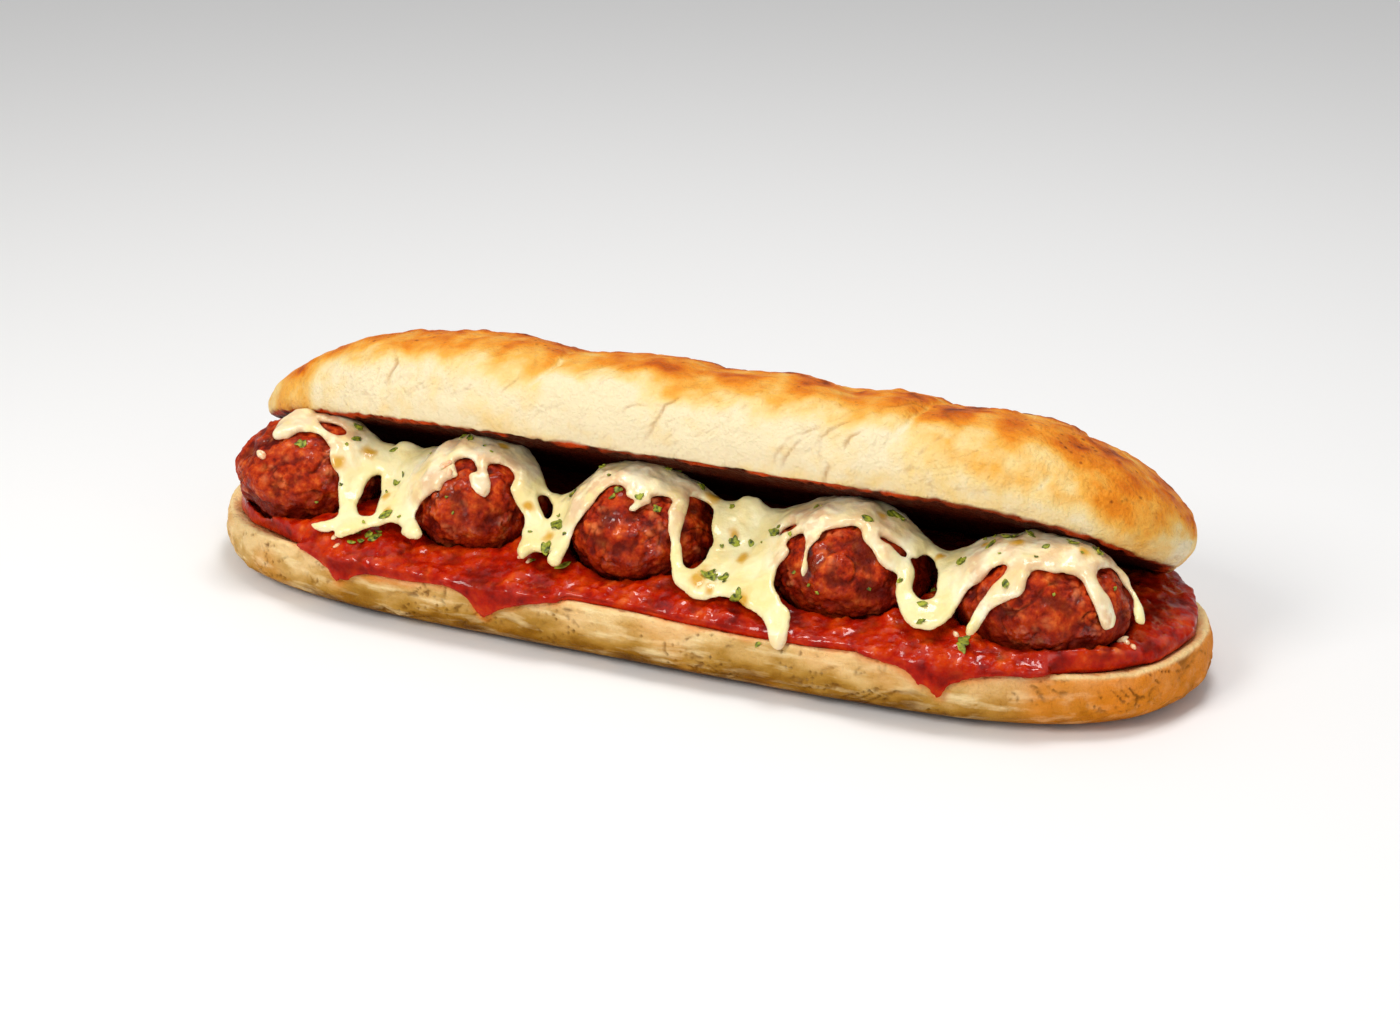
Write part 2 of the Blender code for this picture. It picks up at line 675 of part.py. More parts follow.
def scatter_herbs(cheese, neighbours, name):
    """Fuse small herb flakes to the outer side of the cheese."""
    draw = random.Random(HERB_SEED)
    flakes = bpy.data.collections.new(name)
    bpy.context.scene.collection.children.link(flakes)
    tree = faces_tree(neighbours)
    faces = [face for face in cheese.data.polygons if face.normal.dot(HERB_SIDE) > HERB_FACING]
    areas = [face.area for face in faces]
    places = []
    while len(places) < HERB_FLAKES:
        face = draw.choices(faces, areas)[0]
        place = face.center.copy()
        clear = tree.find_nearest(place)[3]
        if clear < HERB_CLEARANCE or any((place - other).length < HERB_SPACING for other in places):
            continue
        places.append(place)
        bm = bmesh.new()
        turn = face.normal.to_track_quat("Z", "Y").to_matrix().to_4x4()
        spin = Matrix.Rotation(draw.uniform(0, math.tau), 4, "Z")
        tilt = Matrix.Rotation(draw.uniform(-HERB_TILT, HERB_TILT), 4, "X")
        size = HERB_SIZE * draw.uniform(0.8, 1.25)
        matrix = Matrix.Translation(place) @ turn @ spin @ tilt @ Matrix.Diagonal((*size, 1.0))
        bmesh.ops.create_icosphere(bm, subdivisions=1, radius=1.0, matrix=matrix)
        add_object("flake", bm, flakes)
    return flakes


def faces_tree(items):
    """A search tree over the faces of several pieces."""
    verts = []
    faces = []
    for item in items:
        start = len(verts)
        verts += [vert.co.copy() for vert in item.data.vertices]
        faces += [[start + index for index in face.vertices] for face in item.data.polygons]
    return BVHTree.FromPolygons(verts, faces)


def fuse_flakes(item, flakes):
    """Join the flakes to what they lie on and remove their own objects."""
    union = item.modifiers.new("flakes", "BOOLEAN")
    union.operation = "UNION"
    union.solver = "EXACT"
    union.operand_type = "COLLECTION"
    union.collection = flakes
    apply_modifiers(item)
    for flake in list(flakes.objects):
        bpy.data.objects.remove(flake, do_unlink=True)
    bpy.data.collections.remove(flakes)
    keep_largest(item)


def centre(items):
    """Move the pieces so that the middle of the underside of their common box is the origin."""
    places = [vert.co for item in items for vert in item.data.vertices]
    middle_x = (min(place.x for place in places) + max(place.x for place in places)) / 2
    middle_y = (min(place.y for place in places) + max(place.y for place in places)) / 2
    bottom = min(place.z for place in places)
    for item in items:
        item.data.transform(Matrix.Translation((-middle_x, -middle_y, -bottom)))


def finish(item, skin):
    """Give a piece its material and shade it smooth but for its sharp rims."""
    item.data.materials.append(skin)
    item.data.shade_smooth()
    item.data.set_sharp_from_angle(angle=SHARP_ANGLE)


def main():
    clear_scene()
    sandwich = bpy.data.collections.new("submarine sandwich")
    cutters = bpy.data.collections.new("cutters")
    bpy.context.scene.collection.children.link(sandwich)
    bpy.context.scene.collection.children.link(cutters)

    base = make_base(sandwich)
    lid = make_lid(sandwich)
    balls = [make_meatball(index, sandwich) for index in range(len(BALLS))]
    sauce = make_sauce(sandwich)

    thin_out(base, BASE_TRIANGLES)
    thin_out(lid, LID_TRIANGLES)
    for ball in balls:
        thin_out(ball, BALL_TRIANGLES)
    melt_together(sauce, SAUCE_GRAIN, 2)
    thin_out(sauce, SAUCE_TRIANGLES)
    cheese = make_cheese((base, sauce, *balls), sandwich)
    melt_together(cheese, CHEESE_GRAIN, 3)
    thin_out(cheese, CHEESE_TRIANGLES)

    base_room = swollen_copy(base, cutters)
    carve(lid, base_room)
    lid_room = swollen_copy(lid, cutters)
    for ball in balls:
        carve(ball, base_room)
        carve(ball, lid_room)
        keep_largest(ball)
    ball_rooms = [swollen_copy(ball, cutters) for ball in balls]
    sauce_room = swollen_copy(sauce, cutters)
    for room in (base_room, lid_room, *ball_rooms):
        carve(sauce, room)
        carve(cheese, room)
    carve(cheese, sauce_room)
    for item in (lid, sauce, cheese):
        keep_largest(item)
    flakes = scatter_herbs(cheese, (base, lid, *balls, sauce), "herb flakes")
    fuse_flakes(cheese, flakes)

    centre((base, lid, *balls, sauce, cheese))
    finish(base, material("baked bread base", (0.72, 0.47, 0.2), 0.6))
    finish(lid, material("golden crust", (0.76, 0.45, 0.16), 0.5))
    finish(sauce, material("tomato sauce", (0.5, 0.05, 0.015), 0.25))
    finish(cheese, material("melted cheese", (0.87, 0.72, 0.42), 0.35))
    for ball in balls:
        finish(ball, material(f"glazed {ball.name}", (0.3, 0.06, 0.025), 0.35))


main()
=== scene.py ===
"""The looks of a meatball submarine sandwich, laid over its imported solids.

The lower half of the roll holds a bed of tomato sauce with five meatballs in it. Melted cheese
hangs over them, with herb flakes on it, and the upper half of the roll leans back on the filling.
The open side is towards -Y. Lengths in the functions are millimetres unless a name says otherwise.
"""

import math
import random

import bmesh
import bpy
import numpy as np
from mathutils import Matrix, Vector, noise
from mathutils.bvhtree import BVHTree
from mathutils.kdtree import KDTree


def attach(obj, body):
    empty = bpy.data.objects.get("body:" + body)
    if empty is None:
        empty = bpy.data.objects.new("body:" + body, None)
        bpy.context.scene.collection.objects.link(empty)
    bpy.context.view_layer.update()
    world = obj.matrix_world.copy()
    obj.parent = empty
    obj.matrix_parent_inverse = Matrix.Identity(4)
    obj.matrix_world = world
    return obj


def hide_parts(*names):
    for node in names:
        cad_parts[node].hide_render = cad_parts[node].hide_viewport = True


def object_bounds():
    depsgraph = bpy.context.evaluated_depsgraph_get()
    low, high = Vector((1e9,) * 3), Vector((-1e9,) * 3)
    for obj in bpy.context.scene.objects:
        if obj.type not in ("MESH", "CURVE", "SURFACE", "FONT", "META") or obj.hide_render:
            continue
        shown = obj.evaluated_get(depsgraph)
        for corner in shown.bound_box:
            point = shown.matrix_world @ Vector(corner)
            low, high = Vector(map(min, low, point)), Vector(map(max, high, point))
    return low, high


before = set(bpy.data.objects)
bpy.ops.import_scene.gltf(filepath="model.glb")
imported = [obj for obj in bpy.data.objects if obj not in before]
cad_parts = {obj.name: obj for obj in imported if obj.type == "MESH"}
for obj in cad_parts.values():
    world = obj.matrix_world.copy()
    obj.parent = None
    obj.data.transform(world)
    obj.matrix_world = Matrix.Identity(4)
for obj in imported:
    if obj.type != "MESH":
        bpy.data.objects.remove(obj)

cad_low, cad_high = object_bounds()
MM = 0.001
BODY = "root"
BALLS = [f"meatball_{number}" for number in range(1, 6)]

# How finely each piece's surface is modelled, and the most triangles that a finished piece has
LID_GRAIN = 0.6
BASE_GRAIN = 0.74
SAUCE_GRAIN = 0.66
BALL_GRAIN = 0.42
MOST_TRIANGLES = 190000

# Shift of a random pattern, because its heights are all 0 at whole numbers
OFF_GRID = 0.37

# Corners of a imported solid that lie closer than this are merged
WELD = 0.002

# The upper half of the roll: where its back edge rests, how far it leans, and its section. At its
# left and right ends it leans less and hangs lower.
LID_HINGE = (-2.1, 40.0, 18.3)
LID_LEAN = math.radians(27.3)
LID_HALF_LENGTH = 134.0
LID_CUT_HALF_WIDTH = 35.3
LID_HALF_WIDTH = 38.5
LID_WIDEST_HEIGHT = 9.0
LID_RISE = 18.2
LID_TWISTS = (math.radians(2), math.radians(6))
LID_DROOPS = (3.0, 3.5)

# How much lower than the cut the front lip hangs: places along the roll and drops
LID_LIP_PLACES = (-134, -73, -14, 41, 68, 87, 106, 119, 134)
LID_LIP_DROPS = (0.0, 1.4, 2.3, 1.9, 0.3, -1.0, -2.6, -3.6, -3.2)

# How far the soft crumb at the back sinks on to the lower half
HINGE_SINK = 1.0

# Baker's scores across the crust: place on the ridge, halfway down the front and at the cut edge
SCORES = ((-84, -80, -88), (-37, -32, -42), (5, 9, -2), (35, 53, 46), (69, 66, 60), (103, 106, 98))
SCORE_SHOULDER = 55.0
SCORE_END = 105.0

# How many millimetres of crust there are to a degree round the upper half
CRUST_ARC = 0.5

# Creases in the crust: half width, then places along the roll and degrees down from the ridge
CREASE_WIDTH = 0.5
CRUST_CREASES = (
    ((6, 50), (4, 64), (1, 78), (-1, 91), (-3, 102), (-5, 114)),
    ((0, 82), (-3, 80), (-8, 83), (-12, 90)),
    ((43, 76), (40, 81), (36, 87), (33, 100), (32, 112)),
    ((41, 84), (38, 90), (35, 105), (33, 118)),
    ((51, 66), (47, 72), (44, 85), (43, 103)),
    ((54, 72), (51, 80), (49, 97)),
    ((47, 104), (45, 120)),
    ((50, 68), (56, 51), (61, 40), (68, 37), (79, 57)),
    ((-62, 96), (-58, 91), (-55, 80)),
    ((24, 58), (19, 74), (17, 92)),
    ((-42, 50), (-40, 62), (-43, 78), (-48, 92)),
    ((-86, 52), (-82, 70), (-84, 92)),
    ((74, 60), (70, 82), (66, 100)),
)

# The cheese lies over the filling like a cloth. Its outline is given as place along the roll and
# degrees round a line through the meatballs: 0 faces the front and 90 is straight up.
DRAPE_ACROSS = -19.0
DRAPE_HEIGHT = 20.0

# A distance from that line that is outside everything, and the steps of the cloth along and round
DRAPE_OUTSIDE = 70.0
DRAPE_STEP = 0.5
DRAPE_TURN = 1.25
DRAPE_ALONG = np.arange(-130, 136, DRAPE_STEP)
DRAPE_TURNS = np.arange(-24, 128, DRAPE_TURN)

# How many rounds the cloth sinks for, how far it stays off the filling, and the cheese on it
DRAPE_ROUNDS = 560
DRAPE_LIFT = 0.6
CHEESE_THICKNESS = 1.3
CHEESE_UNDERSIDE = 0.7
CHEESE_LIP = 2.0
CHEESE_GRAIN = 0.42

# How many millimetres of cheese there are to a degree round, and how close its edge points lie
DRAPE_ARC = 0.4
EDGE_STEP = 0.3

# Where the cheese bridges the hollow between two meatballs: place along the roll, degrees round and
# distance from the drape's line, then how far the bridge spreads along the roll and in degrees
CHEESE_BRIDGES = ((-79, 102, 18.5), (22, 102, 18.5))
BRIDGE_SPREAD = (12, 24)

# Front edge of the cheese from left to right, with its strands, drips and pools
CHEESE_FRONT = (
    # Over the first meatball and down its right side to the sauce
    (-114, 67), (-113, 62), (-110, 62), (-108, 64), (-107, 71), (-105, 73), (-101, 75), (-97, 70),
    (-96, 62), (-94, 53), (-92, 48), (-92, 37), (-88, 15),
    # The pool between the first and second meatballs
    (-89, 10), (-94, 8), (-95, 6), (-93, 4), (-89, 4), (-87, 6), (-86, 2), (-81, 5), (-76, 12),
    (-72, 16), (-70, 16), (-69, 17), (-67, 14), (-67, 11), (-64, 9), (-61, 11), (-60, 14),
    # Up the left side of the second meatball
    (-64, 21), (-65, 25), (-64, 35), (-62, 40), (-60, 44), (-58, 44), (-58, 50), (-57, 53), (-53, 54),
    (-55, 59), (-58, 66), (-56, 70), (-52, 69),
    # The drop that hangs on the second meatball
    (-50, 64), (-49, 60), (-51, 56), (-50, 51), (-48, 46), (-46, 44), (-45, 44), (-44, 48), (-44, 55),
    (-46, 62), (-47, 64),
    # Over its top and down its right side
    (-48, 70), (-46, 74), (-44, 75), (-41, 72), (-41, 63), (-41, 57), (-39, 53), (-37, 46), (-36, 40),
    (-35, 26), (-34, 20),
    # The two drips between the second and third meatballs
    (-34, 12), (-33, 10), (-31, 8), (-30, 10), (-29, 14), (-26, 14), (-23, 15), (-24, 10), (-22, 8),
    (-20, 9), (-20, 14),
    # Up the left side of the third meatball
    (-19, 22), (-19, 29), (-18, 37), (-16, 45), (-14, 54), (-12, 63), (-10, 68),
    # The short tongue on the third meatball
    (-7, 64), (-6, 60), (-3, 58), (-4, 55), (-4, 50), (-2, 51), (-1, 57), (1, 60), (0, 65), (3, 70),
    (5, 70),
    # The strand down its right side
    (5, 62), (6, 55), (6, 48), (7, 41), (8, 27), (9, 18), (11, 11),
    # The pool between the third and fourth meatballs
    (14, 7), (17, 4), (21, 4), (23, 5), (26, 7), (30, 7), (33, 4), (37, 2),
    # The drip that runs over the rim
    (40, -2), (41, -9), (43, -12), (45, -10), (46, -5), (45, 5), (44, 8), (42, 11),
    # Up the left side of the fourth meatball
    (38, 18), (37, 31), (39, 40), (40, 46), (38, 54), (39, 59), (42, 61),
    # The thin drip on the fourth meatball
    (44, 55), (45, 42), (45, 32), (46, 26), (47, 33), (46, 40), (46, 48), (48, 55), (48, 60),
    # Over its top and down the loop at its right side
    (50, 63), (53, 66), (55, 70), (57, 69), (58, 63), (60, 58), (63, 51), (65, 48), (67, 48), (68, 44),
    (68, 30), (70, 21), (72, 14), (74, 10),
    # The foot of the loop, and up to the fifth meatball
    (77, 8), (81, 8), (83, 12), (84, 17), (85, 27), (86, 33), (87, 43), (90, 51), (92, 60), (94, 63),
    # The thin strand on the fifth meatball
    (96, 60), (95, 52), (93, 41), (91, 34), (90, 22), (89, 12), (90, 9), (92, 11), (93, 20), (94, 27),
    (96, 32), (98, 34),
    # Over the top of the fifth meatball
    (100, 38), (102, 43), (102, 57), (103, 61), (106, 62), (110, 66), (113, 68),
    # The wide drip on it
    (115, 62), (117, 51), (119, 41), (120, 32), (121, 27), (123, 35), (123, 49), (121, 62), (119, 68),
    (117, 72),
    # The strand at its right end
    (116, 78), (116, 88), (118, 101), (120, 110), (124, 108), (125, 90), (126, 67), (127, 57),
    (129, 64), (128, 80), (126, 104),
)

# Back edge of the cheese under the lid, from right to left
CHEESE_BACK = (
    # Behind the fifth and fourth meatballs
    (122, 120), (108, 116), (96, 122), (84, 112), (74, 106), (64, 118), (50, 124), (38, 116),
    # Behind the third meatball
    (30, 113), (18, 114), (8, 112), (0, 120), (-10, 120), (-20, 106),
    # The dip between the third and second meatballs
    (-24, 88), (-28, 76), (-33, 80), (-37, 96),
    # Behind the second and first meatballs
    (-41, 112), (-52, 120), (-64, 118), (-73, 114), (-82, 112), (-90, 114), (-102, 116), (-109, 106),
    (-113, 92), (-115, 78),
)

# Bare spots inside the cheese
CHEESE_WINDOWS = (
    # On top of the first meatball
    ((-105, 89), (-102, 92), (-99, 93), (-96, 93), (-97, 83), (-100, 82)),
    # Between the first and second meatballs
    ((-85, 24), (-86, 44), (-86, 58), (-85, 67), (-83, 74), (-82, 60), (-81, 40), (-79, 23),
     (-78, 18), (-80, 16), (-83, 17)),
    # On the right side of the second meatball
    ((-35, 68), (-33, 75), (-30, 65), (-29, 54), (-29, 45), (-31, 47), (-33, 58)),
    # On the right side of the third meatball
    ((10, 36), (9, 46), (9, 65), (8, 76), (7, 88), (10, 94), (13, 92), (14, 82), (14, 72), (16, 58),
     (15, 41), (16, 27), (15, 20), (13, 20), (11, 27)),
    # At the left of the fourth meatball
    ((34, 64), (35, 76), (38, 74), (40, 66), (38, 64)),
    # On top of the fourth meatball
    ((61, 70), (63, 73), (65, 74), (68, 71), (68, 67), (66, 66), (63, 67)),
    # Inside the loop at its right
    ((69, 68), (71, 73), (71, 80), (72, 86), (74, 83), (76, 69), (77, 53), (78, 37), (78, 29),
     (76, 25), (74, 29), (72, 36), (72, 50), (71, 61)),
)

# Thick rounded drips: place along the roll, degrees round, and radius
CHEESE_BEADS = (
    (-54, 60, 3.0), (-46, 48, 2.6), (-31, 12, 2.6), (-22, 11, 2.2), (-64, 13, 3.0), (-94, 6, 2.2),
    (43, -9, 2.4), (91, 13, 2.2), (121, 32, 2.6), (79, 12, 3.4), (46, 31, 1.8), (-111, 64, 2.4),
    (16, 9, 3.0), (1, 62, 2.4),
)

# Herb flakes: place along the roll, degrees round, and how wide the cluster is
HERBS = (
    (-92, 89, 1.9), (-82, 95, 1.6), (-76, 69, 1.1), (-77, 61, 1.1), (-74, 20, 2.5), (-95, 100, 1.6),
    (-25, 37, 2.5), (-25, 17, 1.9), (-52, 101, 1.4), (-23, 66, 1.6), (22, 61, 1.9), (26, 63, 1.6),
    (20, 19, 2.2), (24, 17, 1.6), (30, 11, 2.2), (33, 68, 1.9), (57, 76, 1.9), (62, 97, 2.4),
    (77, 25, 1.9), (82, 70, 1.6), (78, 14, 1.1), (109, 94, 2.2), (93, 91, 2.5), (97, 97, 1.9),
    (89, 81, 1.9), (83, 71, 1.6), (97, 46, 1.6), (-18, 86, 1.1), (2, 59, 1.4), (-2, 61, 1.1),
    (-57, 86, 1.1), (8, 100, 1.4), (0, 109, 1.4), (-1, 97, 1.1), (64, 96, 1.1), (115, 98, 1.4),
    (50, 105, 1.1), (103, 82, 1.1), (74, 73, 0.8), (42, 88, 1.1), (-10, 58, 1.6), (-9, 64, 1.1),
    (-104, 63, 1.6), (38, -10, 0.8), (-22, 4, 3.0), (88, 3, 2.5), (-81, 2, 1.6), (-30, 5, 1.4),
    (-76, 5, 2.2), (-79, 2, 1.6), (69, 40, 0.8), (-60, 92, 1.0), (18, 92, 1.0), (88, 100, 1.0),
)

# Golden oil on the cheese: place along the roll, degrees round, and radius
OIL = (
    (-26, 27, 1.8), (18, 15, 2.2), (32, 9, 2.0), (-93, 59, 2.2), (-74, 24, 1.4), (96, 82, 1.8),
    (87, 86, 1.4), (21, 70, 1.6), (22, 11, 1.4), (-35, 51, 1.4), (-42, 59, 1.0), (76, 84, 1.4),
    (-88, 84, 2.0), (12, 100, 2.4), (60, 88, 1.6), (112, 88, 1.6), (-48, 92, 1.6), (-78, 40, 1.6),
    (26, 40, 2.0),
)

# Onion and garlic in the sauce and on the meat: place along the roll, degrees round, and length
ONIONS = (
    (-87, 1, 1.8), (-85, -2, 1.9), (-114, 49, 2.5), (124, 16, 2.2), (125, 12, 1.9), (-58, 60, 2.8),
    (-56, 55, 2.1), (86, 5, 1.9), (127, 6, 1.5), (-31, 4, 1.6), (-34, 5, 1.4),
)

# Within these distances from the bread the sauce's edge is drawn down to it, and this far into it
SAUCE_HUG = (0.6, 0.15)
SAUCE_SINK = 0.5

# Where the sauce runs down the wall: place along the roll, how much lower than its solid it reaches
# and how far out it follows the wall
SAUCE_DRIPS = ((-80, 4.0, 1.9), (-40, 1.6, 0.6), (84, 4.0, 1.8))
DRIP_WIDTH = 4.5

# How far the crust's scores, creases and pores go in, and how far its lips and blisters stand out
SCORE_DEPTH = 0.5
CREASE_DEPTH = 0.5
LID_FINE_DEPTH = 0.26
LID_PORE_DEPTH = 0.7
BASE_FINE_DEPTH = 0.7
BASE_SMALL_DEPTH = 0.5
BASE_PORE_DEPTH = 0.6
LIP_RISE = 0.22
BLISTER_RISE = 0.6

# Where a pore of the crumb starts and where it is full, as a share of how far pores lie apart
PORE = (0.34, 0.1)

# Where a look starts and where it is full, in degrees from the upper half's ridge
LID_BAKE = (98, 34)
LID_FRONT = (20, 55)
LID_BLISTERS = (58, 25)
SCORE_BACK_END = (-80, -40)
SCORE_FRONT_END = (95, 70)

# The same, in places along the roll
LID_LEFT_BAKE = (-92, -124)
LID_RIGHT_BAKE = (38, 86)
# The lower half is paler at its left end as painted light, and darker at its right end, partly baking
# and partly painted shade.
BASE_LEFT_PAINTED_LIGHT = (-95, -130)
BASE_RIGHT_BAKE_AND_SHADE = (85, 130)
BASE_ORANGE = (90, 130)
# Where the sauce's painted shade fades out at its right end
SAUCE_SHADE_FADE = (112, 124)

# The same, in places from front to back
SAUCE_SHADE = (-14, 4)

# The same, in heights. The lower half is painted browner from this height down to its foot, partly as
# its own baking and partly as painted shade.
DRIP_HEIGHTS = (16.5, 11.5)
# Meatballs take painted shade from the first of these heights down to the second.
MEAT_LOW_SHADE = (34, 19)
BASE_BAKE_AND_SHADE = 15.5

# Random lumps that are laid over each other, each with its height, size and seed
LID_LUMPS = ((0.7, 26.0, 41), (0.6, 9.0, 43), (0.26, 3.4, 45))
LID_WANDER = ((0.9, 4.0, 7), (0.3, 1.5, 8))
BASE_LUMPS = ((0.6, 20.0, 91), (0.5, 6.5, 97), (0.26, 2.6, 99))
BASE_PATCHES = ((0.18, 16.0, 101), (0.12, 5.0, 103))
CHEESE_LUMPS = ((0.34, 5.0, 5), (0.16, 2.0, 7))

# What each herb flake and bit of onion is laid by: facing, half sizes and turn
BIT_FACTS = ("outward", "size", "spin")

# How large the notches in a torn flake are, and from how far out bits drop towards the drape's line
TEAR_SIZE = 0.7
DROP_REACH = 50.0

# Camera: distances in millimetres, angles in degrees
CAMERA_TARGET = (2.0, -2.05, 27.3)
CAMERA_AZIMUTH = 23.7
CAMERA_ELEVATION = 22.0
CAMERA_DISTANCE = 716.5
CAMERA_LENS_MM = 69.07
CAMERA_CLIP = 0.01

# Soft square lights in metres and watts: name, place, width, power and colour
LIGHTS = (
    ("key", (-0.3, -0.75, 0.66), 0.4, 5.2, (1.0, 0.97, 0.92)),
    ("fill", (0.8, -0.6, 0.35), 0.6, 1.2, (1.0, 1.0, 1.0)),
    ("top", (0.05, 0.1, 0.85), 0.3, 3.0, (1.0, 1.0, 1.0)),
)
LIGHT_TARGET = (0.0, 0.0, 0.03)
SKY_STRENGTH = 0.42
FLOOR_HALF_WIDTH = 3.0


def linear(level):
    """A picture's red, green or blue from 0 to 255, as the share that a shader takes."""
    share = level / 255
    return share / 12.92 if share <= 0.04045 else ((share + 0.055) / 1.055) ** 2.4


def srgb(red, green, blue):
    """A colour read off a picture, for a shader."""
    return (linear(red), linear(green), linear(blue), 1.0)


def ease(start, end, values):
    """0 before start and 1 after end, smooth between them. Start may be the larger."""
    share = np.clip((values - start) / (end - start), 0, 1)
    return share * share * (3 - 2 * share)


# Meshes


def add_item(name, data):
    """Put a mesh, a lamp or the camera in the scene."""
    item = bpy.data.objects.new(name, data)
    bpy.context.scene.collection.objects.link(item)
    return item


def modify(item, name, kind, **settings):
    """Add a modifier with its settings."""
    made = item.modifiers.new(name, kind)
    for setting, value in settings.items():
        setattr(made, setting, value)
    return made


def apply_modifiers(item):
    """Replace a piece's mesh with what its modifiers make of it."""
    graph = bpy.context.evaluated_depsgraph_get()
    made = bpy.data.meshes.new_from_object(item.evaluated_get(graph))
    item.modifiers.clear()
    item.data = made


def fuse(item, grain, rounds):
    """Give a piece one even skin and smooth it."""
    modify(item, "fuse", "REMESH", mode="VOXEL", voxel_size=grain * MM)
    modify(item, "smooth", "SMOOTH", factor=0.5, iterations=rounds)
    apply_modifiers(item)
    item.data.shade_smooth()


def fine_copy(node, name, grain, rounds=10, levels=2):
    """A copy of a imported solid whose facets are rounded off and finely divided."""
    bm = bmesh.new()
    bm.from_mesh(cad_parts[node].data)
    bmesh.ops.remove_doubles(bm, verts=bm.verts, dist=WELD * MM)
    mesh = bpy.data.meshes.new(name)
    bm.to_mesh(mesh)
    bm.free()
    item = add_item(name, mesh)
    modify(item, "round off", "SUBSURF", levels=levels, render_levels=levels)
    fuse(item, grain, rounds)
    return item


def read_places(item):
    """A piece's vertex places in millimetres, and the outward direction at each."""
    found = []
    for group, field in ((item.data.vertices, "co"), (item.data.vertex_normals, "vector")):
        values = np.empty(3 * len(group))
        group.foreach_get(field, values)
        found.append(values.reshape(-1, 3))
    return found[0] / MM, found[1]


def write_places(item, places):
    """Move a piece's vertices to places in millimetres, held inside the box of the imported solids."""
    item.data.vertices.foreach_set("co", np.clip(places * MM, cad_low, cad_high).ravel())
    item.data.update()


def add_masks(item, **masks):
    """Keep numbers from 0 to 1 for each vertex, for the material to read."""
    for name, values in masks.items():
        mask = item.data.attributes.new(name, "FLOAT", "POINT")
        mask.data.foreach_set("value", np.clip(values, 0, 1).astype(np.float32))


def ripple(places, size, seed):
    """Random height from about -1 to 1 at each place, with bumps of the given size."""
    points = (places / size + seed + OFF_GRID).tolist()
    return np.array([noise.noise(point, noise_basis="PERLIN_ORIGINAL") for point in points])


def bumps(places, layers):
    """Random heights laid over each other, each given as its height, size and seed."""
    return sum(height * ripple(places, size, seed) for height, size, seed in layers)


def grains(places, size, seed):
    """Distances from each place to its nearest two scattered points, in the given size."""
    points = (places / size + seed + OFF_GRID).tolist()
    return np.array([noise.voronoi(point)[0][:2] for point in points]).T


def search_tree(*items):
    """A search tree over the faces of pieces, in millimetres."""
    places = []
    faces = []
    for item in items:
        start = len(places)
        places += read_places(item)[0].tolist()
        faces += [[start + corner for corner in face.vertices] for face in item.data.polygons]
    return BVHTree.FromPolygons(places, faces)


def distance_to(tree, places):
    """How far each place is from the faces of a search tree."""
    return np.array([tree.find_nearest(point)[3] for point in places.tolist()])


def point_tree(points):
    """A search tree over points."""
    tree = KDTree(len(points))
    for index, point in enumerate(points.tolist()):
        tree.insert(point, index)
    tree.balance()
    return tree


def thin_out(item):
    """Merge a piece's faces where that shows least, until it has at most MOST_TRIANGLES."""
    count = sum(len(face.vertices) - 2 for face in item.data.polygons)
    if count > MOST_TRIANGLES:
        modify(item, "thin out", "DECIMATE", ratio=MOST_TRIANGLES / count)
        apply_modifiers(item)
        write_places(item, read_places(item)[0])


def hand_over(item, finish, slot, *nodes):
    """Give a piece its material and hang it on the body in place of its solids."""
    thin_out(item)
    item.data.materials.clear()
    item.data.materials.append(finish)
    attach(item, BODY)
    if nodes:
        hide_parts(*nodes)


# Shader maths


class Amount:
    """A number that varies over a surface, written like a Python number."""

    def __init__(self, wiring, socket):
        self.wiring = wiring
        self.socket = socket

    def maths(self, operation, *others):
        """Apply one of the Math node's operations."""
        inputs = dict(enumerate((self, *others)))
        return self.wiring.node("ShaderNodeMath", {"operation": operation}, inputs)

    def __add__(self, other):
        return self.maths("ADD", other)

    def __mul__(self, other):
        return self.maths("MULTIPLY", other)

    def __sub__(self, other):
        return self.maths("SUBTRACT", other)

    def __rsub__(self, other):
        return self * -1.0 + other

    __radd__ = __add__
    __rmul__ = __mul__

    def between(self, low, high):
        """0 at low and 1 at high, held beyond them. Low may be the larger."""
        share = (self - low) * (1.0 / (high - low))
        return share.maths("MINIMUM", 1.0).maths("MAXIMUM", 0.0)


def set_stops(ramp, stops):
    """Give a colour ramp its stops, each a place from 0 to 1 and a colour read off a picture."""
    while len(ramp.elements) < len(stops):
        ramp.elements.new(1.0)
    for element, (place, colour) in zip(ramp.elements, stops):
        element.position = place
        element.color = srgb(*colour)


class Wiring:
    """The nodes of a material or of a scatter."""

    def __init__(self, tree):
        self.tree = tree

    def node(self, kind, settings=None, inputs=None, output=0):
        """Add a node with its settings, then its inputs, and return one of its outputs."""
        made = self.tree.nodes.new(kind)
        for name, value in (settings or {}).items():
            if name == "stops":
                set_stops(made.color_ramp, value)
            else:
                setattr(made, name, value)
        for name, value in (inputs or {}).items():
            self.join(made.inputs[name], value)
        return Amount(self, made.outputs[output])

    def join(self, socket, value):
        """Link a socket to an amount, or set its value."""
        if isinstance(value, Amount):
            self.tree.links.new(value.socket, socket)
        else:
            socket.default_value = value


